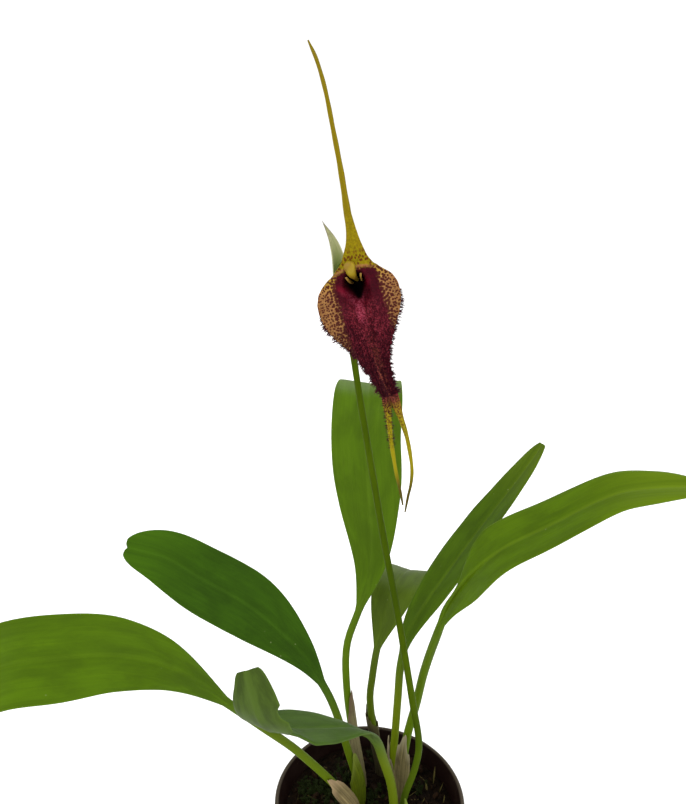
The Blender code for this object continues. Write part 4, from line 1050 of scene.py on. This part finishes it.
def body_rings(us, masks):
    """Rings of the body, front skin then back skin, from the upper tail down to the fork."""
    across, up, out = bloom_axes()
    rings = []
    y = BODY_TOP
    while y > BODY_LOW - 0.01:
        left, right = sepal_margins(y)
        front = [sepal_front(u, y) for u in us]
        normals = [sepal_normal(u, y) for u in us]
        thin = [SEPAL_THICKNESS * (0.25 + 0.75 * math.sqrt(max(0.0, 1.0 - abs(u) ** 9))) for u in us]
        back = [p - n * t for p, n, t in zip(front, normals, thin)]
        ring = front + list(reversed(back))
        if y > 13.0:
            centre = sepal_front(0.0, y) - out * 0.4
            tube = round_ring(centre, across, out, 0.5 * (right - left), us)
            blend = smooth((y - 13.0) / 4.0)
            ring = [a.lerp(b, blend) for a, b in zip(ring, tube)]
        rings.append(ring)
        for layer in (1.0, 0.0):
            for u in us if layer else reversed(us):
                masks.append(sepal_masks(lerp(left, right, 0.5 + 0.5 * u), y, layer, 0.0))
        y -= BODY_STEP
    return rings


def lower_tail(verts, faces, masks, ids, path):
    """One lower tail, carried out of half of the body's last ring into a round, tapering end."""
    corner = [verts[i] for i in ids]
    centre = sum(corner, Vector()) / len(corner)
    tail = Spine([centre] + path)
    size = len(ids)
    half = size // 2
    us = [lerp(-1.0, 1.0, i / (half - 1)) for i in range(half)]
    for step in range(1, LOWER_TAIL_ROWS + 1):
        s = step / LOWER_TAIL_ROWS
        side, face = tail_frame(-tail.tangent(s))
        radius = table(LOWER_TAIL_RADII, s)
        radius *= 1.0 + 0.06 * math.sin(29.0 * s) * smooth(s * 3.0)
        ring = round_ring(tail.at(s), side, face, radius, us)
        if s < 0.24:
            carried = [p + (tail.at(s) - centre) for p in corner]
            ring = [a.lerp(b, smooth(s / 0.24)) for a, b in zip(carried, ring)]
        first = len(verts)
        verts += ring
        for i in range(size):
            j = (i + 1) % size
            faces.append((ids[i], ids[j], first + j, first + i))
            u = us[i] if i < half else us[size - 1 - i]
            masks.append(sepal_masks(u, BODY_LOW, 1.0 if i < half else 0.0, -s))
        ids = [first + i for i in range(size)]
    for i in range(half - 1):
        faces.append((ids[i], ids[i + 1], ids[-2 - i], ids[-1 - i]))
    return tail


def sepal_piece(material):
    """The fused sepals with their three tails; gives back the lower tails' centre lines."""
    half = SEPAL_HALF_COLUMNS
    us = [math.copysign(abs(i / half) ** 1.15, i) for i in range(-half, half + 1)]
    around = 2 * len(us)
    masks = []
    rings = upper_tail_rings(us, masks) + body_rings(us, masks)
    verts = []
    faces = []
    for index, ring in enumerate(rings):
        verts += ring
        if index:
            bridge(faces, (index - 1) * around, index * around, around)
    for i in range(len(us) - 1):
        faces.append((i, i + 1, around - 2 - i, around - 1 - i))
    last = (len(rings) - 1) * around
    tails = []
    for path, picks in ((TAIL_LEFT, range(half + 1)), (TAIL_RIGHT, range(half, len(us)))):
        ids = [last + i for i in picks] + [last + around - 1 - i for i in reversed(picks)]
        tails.append(lower_tail(verts, faces, masks, ids, path))
    marks = {key: list(values) for key, values in zip(SEPAL_MASKS, zip(*masks))}
    build("fused_sepals_detail", verts, faces, material, "fused_sepals", marks)
    return tails


class Tuft:
    """Many small pointed shapes in one mesh: points, faces and how high each point stands."""

    def __init__(self):
        self.verts = []
        self.faces = []
        self.rise = []

    def spike(self, rings, tip):
        """Close one spike over two rings, each given as (points, height)."""
        first = len(self.verts)
        for points, height in rings:
            self.verts += points
            self.rise += [height] * len(points)
        self.verts.append(tip)
        self.rise.append(1.0)
        sides = len(points)
        self.faces.append(tuple(first + k for k in reversed(range(sides))))
        for k in range(sides):
            j = (k + 1) % sides
            self.faces.append((first + k, first + j, first + sides + j, first + sides + k))
            self.faces.append((first + sides + k, first + sides + j, first + 2 * sides))

    def hair(self, rng, root, direction, length, width):
        """Three-sided hair, rooted a little inside the skin, that bends at random."""
        direction = direction.normalized()
        aside = direction.orthogonal().normalized()
        other = direction.cross(aside)
        bend = Vector((rng.uniform(-1, 1), rng.uniform(-1, 1), rng.uniform(-1.2, 0.4))) * 0.28 * length
        rings = []
        for height, size in ((-0.12, 1.0), (0.5, 0.62)):
            points = []
            for k in range(3):
                angle = 2 * math.pi * k / 3
                push = (aside * math.cos(angle) + other * math.sin(angle)) * width * size
                points.append(root + direction * length * height + push + bend * max(0.0, height) ** 2)
            rings.append((points, max(0.0, height)))
        self.spike(rings, root + direction * length + bend)

    def blade(self, root, direction, length, width):
        """Flattened four-sided blade, widest a little below its middle."""
        direction = direction.normalized()
        aside = direction.orthogonal().normalized()
        over = direction.cross(aside)
        rings = []
        for height, spread in ((0.0, 0.6), (0.45, 1.0)):
            points = []
            for ax, ov in ((-1, 0), (0, 0.35), (1, 0), (0, -0.35)):
                points.append(root + direction * length * height + (aside * ax + over * ov) * width * spread)
            rings.append((points, height))
        self.spike(rings, root + direction * length)

    def build(self, name, material, slot):
        build(name, self.verts, self.faces, material, None, {"along": self.rise}, flat=True)


def sepal_hairs(tails, material):
    """Fine hairs on the bed, long ones along the margins, short ones round the lower tails."""
    across, up, out = bloom_axes()
    rng = random.Random(7)
    coat = Tuft()
    for _ in range(BED_HAIR_TRIES):
        y = rng.uniform(BODY_LOW, -1.5)
        u = rng.uniform(-1.0, 1.0)
        inner = abs(u + 0.05) < 0.5 - 0.1 * (u > 0)
        crowd = smooth((-y - 3.0) / 6.0) if inner else smooth((-y - 7.0) / 6.0)
        if rng.random() > 0.15 + 0.85 * crowd or y > -3.5 and not inner:
            continue
        normal = sepal_normal(max(-0.97, min(0.97, u)), y)
        lean = across * (u * 0.7) - up * 0.35 + Vector([rng.uniform(-0.35, 0.35) for _ in range(3)])
        length = rng.uniform(0.4, 0.8) * (0.6 + 0.4 * crowd)
        coat.hair(rng, sepal_front(u, y), normal + lean, length, 0.07)
    for side in (-1.0, 1.0):
        begin = -3.5 if side < 0 else -2.5
        for _ in range(MARGIN_HAIRS):
            y = rng.uniform(BODY_LOW, begin)
            u = side * rng.uniform(0.965, 1.0)
            root = sepal_front(u, y) - sepal_normal(side * 0.96, y) * rng.uniform(0.1, SEPAL_THICKNESS)
            lean = across * side + out * rng.uniform(-0.5, 0.5) + up * rng.uniform(-0.9, 0.35)
            fade = smooth((begin - y) / 3.0)
            coat.hair(rng, root, lean, rng.uniform(0.7, 1.55) * (0.45 + 0.55 * fade), 0.15)
    for tail, reach, count in ((tails[0], 0.45, 260), (tails[1], 0.1, 70)):
        for _ in range(count):
            s = reach * rng.random() ** 1.4
            tangent, side, face = tail.frame(s, [(0.0, out), (1.0, out)])
            turn = rng.uniform(0.0, 2 * math.pi)
            ray = side * math.cos(turn) + face * math.sin(turn)
            lean = ray - tangent * 0.3 * rng.random()
            coat.hair(rng, tail.at(s) + ray * 0.75, lean, rng.uniform(0.4, 1.1) * (1.0 - s), 0.1)
    coat.build("sepal_hairs", material, "sepal")


def petal_piece(name, points, facing, half_width, thickness, material):
    """Small fleshy petal: a flattened tongue that narrows to a blunt tip."""
    spine = Spine(points)
    verts = []
    faces = []
    rows = 22
    sides = 16
    for row in range(rows + 1):
        s = row / rows
        tangent, side, face = spine.frame(s, [(0.0, facing), (1.0, facing)])
        reach = half_width * (0.65 + 0.35 * math.sin(math.pi * min(1.0, s * 0.8 + 0.1)))
        reach *= math.sqrt(max(0.04, 1.0 - max(0.0, (s - 0.8) / 0.2) ** 2))
        for k in range(sides):
            angle = 2 * math.pi * k / sides
            wave = 1.0 + 0.08 * math.sin(9.0 * s + angle)
            offset = side * (math.cos(angle) * reach * wave) + face * (math.sin(angle) * 0.5 * thickness)
            verts.append(spine.at(s) + offset)
        if row:
            bridge(faces, (row - 1) * sides, row * sides, sides)
    faces.append(tuple(reversed(range(sides))))
    faces.append(tuple(rows * sides + i for i in range(sides)))
    build(name + "_detail", verts, faces, material, name)


def inner_radius(z):
    """Radius of the pot's inner wall at a height."""
    return lerp(POT_BASE_RADIUS - POT_WALL, POT_RIM_RADIUS - RIM_WALL, z / POT_HEIGHT)


MEDIUM_RADIUS = inner_radius(MEDIUM_EDGE_Z) - MEDIUM_GAP


def lathe(profile, segments):
    """Turn a (radius, z) profile that starts and ends on the axis."""
    verts = [(0.0, 0.0, profile[0][1])]
    faces = []
    for radius, z in profile[1:-1]:
        for k in range(segments):
            angle = 2 * math.pi * k / segments
            verts.append((radius * math.cos(angle), radius * math.sin(angle), z))
    verts.append((0.0, 0.0, profile[-1][1]))
    rings = len(profile) - 2
    for k in range(segments):
        faces.append((0, 1 + k, 1 + (k + 1) % segments))
        last = 1 + (rings - 1) * segments
        faces.append((len(verts) - 1, last + (k + 1) % segments, last + k))
    for ring in range(rings - 1):
        bridge(faces, 1 + ring * segments, 1 + (ring + 1) * segments, segments)
    return verts, faces


def pot_piece(material):
    """Turned pot wall and rolled rim, with the drain holes cut through the floor."""
    base = POT_BASE_RADIUS
    rim = POT_RIM_RADIUS
    profile = [(0, 0), (base - 1.0, 0), (base - 0.3, 0.3), (base, 1.0)]
    profile += [(inner_radius(z) + POT_WALL, z) for z in (6.0, 14.0, 24.0, 34.0, 44.0, 49.8, 50.6)]
    profile += [(rim - 1.1, 51.3), (rim - 0.9, 51.9), (rim - 0.55, 55.0), (rim - 0.2, 58.2)]
    for step in range(11):
        turn = step * math.pi / 10
        out = LIP_RADIUS * math.cos(turn)
        up = LIP_RADIUS * math.sin(turn)
        profile.append((rim - LIP_RADIUS + out, POT_HEIGHT - LIP_RADIUS + up))
    profile += [(inner_radius(z), z) for z in (58.2, 40.0, POT_FLOOR + 1.0)]
    profile += [(inner_radius(POT_FLOOR) - 1.0, POT_FLOOR), (0, POT_FLOOR)]
    verts, faces = lathe(profile, POT_SEGMENTS)
    pot = build("pot_detail", verts, faces, material, "pot")
    for k in range(DRAIN_COUNT):
        angle = 2 * math.pi * (k + 0.5) / DRAIN_COUNT
        bpy.ops.mesh.primitive_cylinder_add(vertices=40, radius=DRAIN_RADIUS * MM, depth=0.02)
        cutter = bpy.context.object
        cutter.location = (DRAIN_CIRCLE * MM * math.cos(angle), DRAIN_CIRCLE * MM * math.sin(angle), 0.0)
        step = pot.modifiers.new("drain", "BOOLEAN")
        step.operation = "DIFFERENCE"
        step.object = cutter
        bpy.context.view_layer.update()
        graph = bpy.context.evaluated_depsgraph_get()
        cut = bpy.data.meshes.new_from_object(pot.evaluated_get(graph))
        pot.modifiers.clear()
        pot.data = cut
        bpy.data.objects.remove(cutter, do_unlink=True)
    pot.data.set_sharp_from_angle(angle=math.radians(50))


def medium_height(x, y):
    """Height of the medium's domed, uneven top, before the fine lumps."""
    r = math.hypot(x, y) / 30.0
    rough = noise(Vector((x * 0.16, y * 0.16, 3.1))) * 1.3
    rough += noise(Vector((x * 0.42, y * 0.42, 7.7))) * 0.7
    return MEDIUM_EDGE_Z + MEDIUM_CROWN * (1.0 - r * r) + rough * smooth((1.0 - r) * 6.0)


def crumbly(x, y):
    """Fine lumps of the medium's top, in millimetres."""
    fine = 0.55 * noise(Vector((x * 1.1, y * 1.1, 1.0))) + 0.35 * noise(Vector((x * 2.6, y * 2.6, 5.0)))
    return fine + 0.18 * noise(Vector((x * 6.0, y * 6.0, 9.0)))


def medium_piece(material):
    """The bed of the pot: a crumbly domed top on a plain plug that fills the pot."""
    segments = MEDIUM_SEGMENTS
    rings = MEDIUM_RINGS
    low = POT_FLOOR + MEDIUM_GAP
    foot = inner_radius(low)
    verts = [(0.0, 0.0, medium_height(0.0, 0.0))]
    lump = [0.0]
    faces = []
    for ring in range(1, rings + 1):
        radius = MEDIUM_RADIUS * (ring / rings) ** 0.85
        for k in range(segments):
            angle = 2 * math.pi * (k + 0.5 * (ring % 2)) / segments
            x = radius * math.cos(angle)
            y = radius * math.sin(angle)
            rough = crumbly(x, y) * smooth((1.0 - radius / MEDIUM_RADIUS) * 14.0)
            verts.append((x, y, medium_height(x, y) + rough * 1.3))
            lump.append(rough)
    for radius, z in ((inner_radius(30.0) - MEDIUM_GAP, 30.0), (foot - 1.4, low + 0.7), (foot - 2.2, low)):
        for k in range(segments):
            angle = 2 * math.pi * (k + 0.5 * (rings % 2)) / segments
            verts.append((radius * math.cos(angle), radius * math.sin(angle), z))
            lump.append(0.0)
    verts.append((0.0, 0.0, low))
    lump.append(0.0)
    for k in range(segments):
        faces.append((0, 1 + k, 1 + (k + 1) % segments))
        last = 1 + (rings + 2) * segments
        faces.append((len(verts) - 1, last + (k + 1) % segments, last + k))
    for ring in range(rings + 2):
        bridge(faces, 1 + ring * segments, 1 + (ring + 1) * segments, segments)
    build("medium_detail", verts, faces, material, "potting_medium", {"lump": lump})


def clear_spot(rng, limit, clear):
    """Random place on the medium that keeps clear of every stem."""
    while True:
        radius = limit * math.sqrt(rng.random())
        angle = rng.uniform(0, 2 * math.pi)
        x = radius * math.cos(angle)
        y = radius * math.sin(angle)
        if all(math.hypot(x - sx, y - sy) > clear for sx, sy in STEM_FEET):
            return x, y


def bark_chips(rng, material):
    verts = []
    faces = []
    for _ in range(BARK_CHIP_COUNT):
        size = rng.uniform(0.8, 2.5)
        x, y = clear_spot(rng, MEDIUM_RADIUS - size - 0.6, size + 2.2)
        centre = Vector((x, y, medium_height(x, y) + 0.15 * size))
        one, two = [Vector([rng.gauss(0, 1) for _ in range(3)]).normalized() for _ in range(2)]
        one.z *= 0.35
        one.normalize()
        two = (two - one * two.dot(one)).normalized()
        three = one.cross(two)
        scale = (size, size * rng.uniform(0.35, 0.7), size * rng.uniform(0.2, 0.42))
        first = len(verts)
        bm = bmesh.new()
        bmesh.ops.create_icosphere(bm, subdivisions=2, radius=1.0)
        for vert in bm.verts:
            p = Vector([math.copysign(abs(c) ** 0.6, c) for c in vert.co])
            p *= 1.0 + 0.22 * noise(p * 1.7 + Vector((x, y, 0.0)))
            verts.append(centre + one * (p.x * scale[0]) + two * (p.y * scale[1]) + three * (p.z * scale[2]))
        for face in bm.faces:
            faces.append(tuple(first + v.index for v in face.verts))
        bm.free()
    build("bark_chips", verts, faces, material, None)


def moss_tufts(rng, material):
    """Clumps of upright shoots, each ringed with tiny leaves."""
    moss = Tuft()
    for cx, cy, spread, shoots in MOSS_CLUMPS:
        for _ in range(shoots):
            x = cx + rng.gauss(0, 0.45) * spread
            y = cy + rng.gauss(0, 0.45) * spread
            crowded = any(math.hypot(x - sx, y - sy) < 3.2 for sx, sy in STEM_FEET)
            if crowded or math.hypot(x, y) > MEDIUM_RADIUS - 2.2:
                continue
            root = Vector((x, y, medium_height(x, y) - 0.2))
            lean = Vector((rng.gauss(0, 0.35), rng.gauss(0, 0.35), 1.0)).normalized()
            tall = rng.uniform(1.2, 3.0)
            for step in range(9):
                at = root + lean * (tall * step / 8.0)
                for turn in range(3):
                    angle = 2.4 * (step * 3 + turn)
                    ray = Vector((math.cos(angle), math.sin(angle), 0.55))
                    moss.blade(at, ray, rng.uniform(0.55, 0.95), 0.16)
    moss.build("moss_tufts", material, "medium")


def dry_fibres(rng, material):
    """A few upright sprigs and many loose fibres that lie on the medium."""
    straw = Tuft()
    for x, y, tall, lean in SPRIGS:
        straw.blade(Vector((x, y, medium_height(x, y) - 0.5)), Vector((lean, 0.1, 1.0)), tall, 0.6)
    for _ in range(LOOSE_FIBRE_COUNT):
        x, y = clear_spot(rng, MEDIUM_RADIUS - 4.0, 3.0)
        root = Vector((x, y, medium_height(x, y) + 0.2))
        angle = rng.uniform(0, 6.28)
        lie = Vector((math.cos(angle), math.sin(angle), rng.uniform(0.02, 0.3)))
        straw.blade(root, lie, rng.uniform(1.5, 4.0), rng.uniform(0.07, 0.16))
    straw.build("dry_fibres", material, "medium")


def dress_pot():
    pot_piece(pot_paint())
    moss = moss_paint("moss_green", (0.0045, 0.008, 0.0012), (0.015, 0.023, 0.003))
    straw = moss_paint("dry_fibre", (0.05, 0.04, 0.012), (0.12, 0.1, 0.03))
    medium_piece(medium_paint())
    rng = random.Random(19)
    bark_chips(rng, bark_paint())
    moss_tufts(rng, moss)
    dry_fibres(rng, straw)


def dress_leaves():
    for name, spec in LEAVES.items():
        greens = [spec[place + "_green"] for place in ("blade", "stalk", "tip", "under")]
        leaf_piece(name, spec, leaf_paint(name + "_skin", *greens, spec["midrib_and_sheen"]))


def dress_sheaths():
    for name, look in SHEATHS.items():
        leaf = LEAVES[look["leaf"]]
        spine = leaf_spine(leaf)
        inner = leaf["stalk"] + SHEATH_SLACK
        shape = {**look, "faces": leaf["faces"], "inner": inner, "flare": SHEATH_FLARE}
        low = height_fraction(spine, SHEATH_FOOT_Z)
        high = height_fraction(spine, look["top_z"])
        husk = papery_paint(name + "_skin", look["fibre"], look["streak"], look["torn"])
        sheath_piece(name, spine, low, high, shape, SHEATH_ROWS, SHEATH_SIDES, husk)


def dress_stem():
    """Stem, flower stalk and the ribbed ovary that ends in the sepal tube."""
    ovary_end = bloom_point(0.2, TUBE_CENTRE_Y, tube_floor() - SEPAL_THICKNESS - 0.1)
    stem = Spine(FLOWER_STEM + [ovary_end])
    girth = [(0.0, 1.15), (0.3, 1.1), (0.6, 1.0), (0.9, 0.9), (0.955, 0.95), (0.985, 1.45), (1.0, 1.2)]

    def stem_radius(s, angle):
        ribs = 0.1 * smooth((s - 0.955) / 0.02) * math.cos(6 * angle)
        return table(girth, s) + ribs + 0.02 * math.sin(70.0 * s + 2.0 * math.sin(angle))

    stations = [i / 150.0 * 0.9 for i in range(150)] + [0.9 + 0.1 * i / 50.0 for i in range(51)]
    hint = [
        (0.0, (0.0, -1.0, 0.0)), (0.9, (0.2, -1.0, 0.2)), (0.95, (0.2, -0.3, 1.0)), (1.0, (0.0, 0.2, 1.0)),
    ]
    green = stalk_paint("flower_stem_skin", (0.048, 0.08, 0.0012), (0.034, 0.06, 0.001))
    tube_piece("flower_stem", stem, stations, stem_radius, hint, 24, green)


def dress_bract():
    facing = (0.1, -1.0, 0.1)
    shape = {
        "faces": [(0.0, facing), (1.0, facing)], "inner": 1.2, "flare": -1.1, "belly": 0.6, "mouth": 0.17,
        "tall_side": -0.5 * math.pi, "wall": 0.3, "crease": 0.25, "fray": 0.03,
    }
    sheath_piece("floral_bract", Spine(BRACT_LINE), 0.05, 1.0, shape, 44, 44, bract_paint())


def dress_shoot():
    x, y = SHOOT_FOOT
    shoot = Spine([(x, y, STALK_FOOT_Z), (13.5, -11.0, 54.0), (12.8, -10.8, 61.0), (11.4, -10.3, 70.0)])

    def shoot_radius(s, angle):
        lap = 0.08 * max(0.0, math.cos(angle - 5.0 * s))
        return table([(0.0, 1.1), (0.55, 1.25), (0.8, 1.0), (1.0, 0.2)], s) + lap * (1.0 - s)

    pale = stalk_paint("young_shoot_skin", (0.14, 0.19, 0.03), (0.09, 0.14, 0.014))
    hint = [(0.0, (0.0, -1.0, 0.0)), (1.0, (0.0, -1.0, 0.0))]
    stations = [i / 40.0 for i in range(41)]
    tube_piece("young_shoot", shoot, stations, shoot_radius, hint, 24, pale)


def dress_bloom():
    tails = sepal_piece(sepal_paint())
    sepal_hairs(tails, hair_paint())
    column = Spine([
        bloom_point(-0.1, 1.6, tube_floor() + 0.35), bloom_point(-0.15, 2.6, -5.0),
        bloom_point(-0.2, 3.5, -1.6), bloom_point(-0.2, 4.6, 0.2), bloom_point(-0.1, 6.9, 0.9),
    ])

    def column_radius(s, angle):
        end = math.sqrt(max(0.05, 1.0 - max(0.0, (s - 0.9) / 0.1) ** 2))
        return lerp(0.5, 1.35, s * s) * (1.0 + 0.12 * math.cos(2 * angle)) * end

    wax = waxy_paint("column_wax", (0.27, 0.19, 0.006), (0.2, 0.12, 0.008))
    upright = [(0.0, BLOOM_UP), (1.0, BLOOM_UP)]
    stations = [i / 30.0 for i in range(31)]
    tube_piece("column", column, stations, column_radius, upright, 20, wax)
    pale = waxy_paint("petal_wax", (0.3, 0.2, 0.025), (0.24, 0.13, 0.03))
    for name, hand in (("petal_left", -1.0), ("petal_right", 1.0)):
        points = [
            bloom_point(hand * 1.2 - 0.1, 1.3, -8.0),
            bloom_point(hand * 1.4 - 0.1, 1.9, -4.5),
            bloom_point(hand * 1.6, 2.9, -1.2),
            bloom_point(hand * 1.8 + 0.1, 3.5, 0.4),
        ]
        petal_piece(name, points, bloom_axes()[0] * hand, 0.52, 0.5, pale)


def studio():
    """The photograph's camera, a pale floor, a white sky and three soft lamps."""
    camera = bpy.data.objects.new("camera", bpy.data.cameras.new("camera"))
    bpy.context.scene.collection.objects.link(camera)
    camera.location = (-0.0092, -0.1989, 0.2785)
    camera.rotation_euler = (math.radians(70.0), 0.0, 0.0)
    camera.data.lens = 36.0 * 750.0 / 804.0
    camera.data.sensor_width = 36.0
    camera.data.clip_start = 0.01
    bpy.context.scene.camera = camera

    floor_radius = 4000.0
    floor_mesh = bpy.data.meshes.new("studio_floor")
    verts, faces = lathe([(0, -0.02), (floor_radius, -0.02), (floor_radius, -12.0), (0, -12.0)], 96)
    floor_mesh.from_pydata([Vector(v) * MM for v in verts], [], faces)
    floor_mesh.materials.append(floor_paint())
    floor = bpy.data.objects.new("studio_floor", floor_mesh)
    bpy.context.scene.collection.objects.link(floor)

    bpy.context.scene.view_settings.view_transform = "Standard"
    world = bpy.data.worlds.new("studio_sky")
    bpy.context.scene.world = world
    world.use_nodes = True
    sky = world.node_tree.nodes["Background"]
    sky.inputs["Color"].default_value = (1.0, 1.0, 1.0, 1.0)
    sky.inputs["Strength"].default_value = 1.1

    lights = (
        ("key", (-0.45, -0.75, 0.95), 0.7, 7.0, (1.0, 0.99, 0.96)),
        ("fill", (0.8, -0.4, 0.5), 0.8, 2.0, (0.97, 0.99, 1.0)),
        ("back", (0.25, 0.85, 0.8), 0.6, 4.0, (1.0, 1.0, 1.0)),
    )
    for name, place, size, power, tint in lights:
        lamp = bpy.data.objects.new(name, bpy.data.lights.new(name, "AREA"))
        bpy.context.scene.collection.objects.link(lamp)
        lamp.data.size = size
        lamp.data.energy = power
        lamp.data.color = tint
        lamp.location = place
        aim = Vector((0.0, 0.0, 0.15)) - Vector(place)
        lamp.rotation_euler = aim.to_track_quat("-Z", "Y").to_euler()


studio()
dress_pot()
dress_leaves()
dress_sheaths()
dress_stem()
dress_bract()
dress_shoot()
dress_bloom()
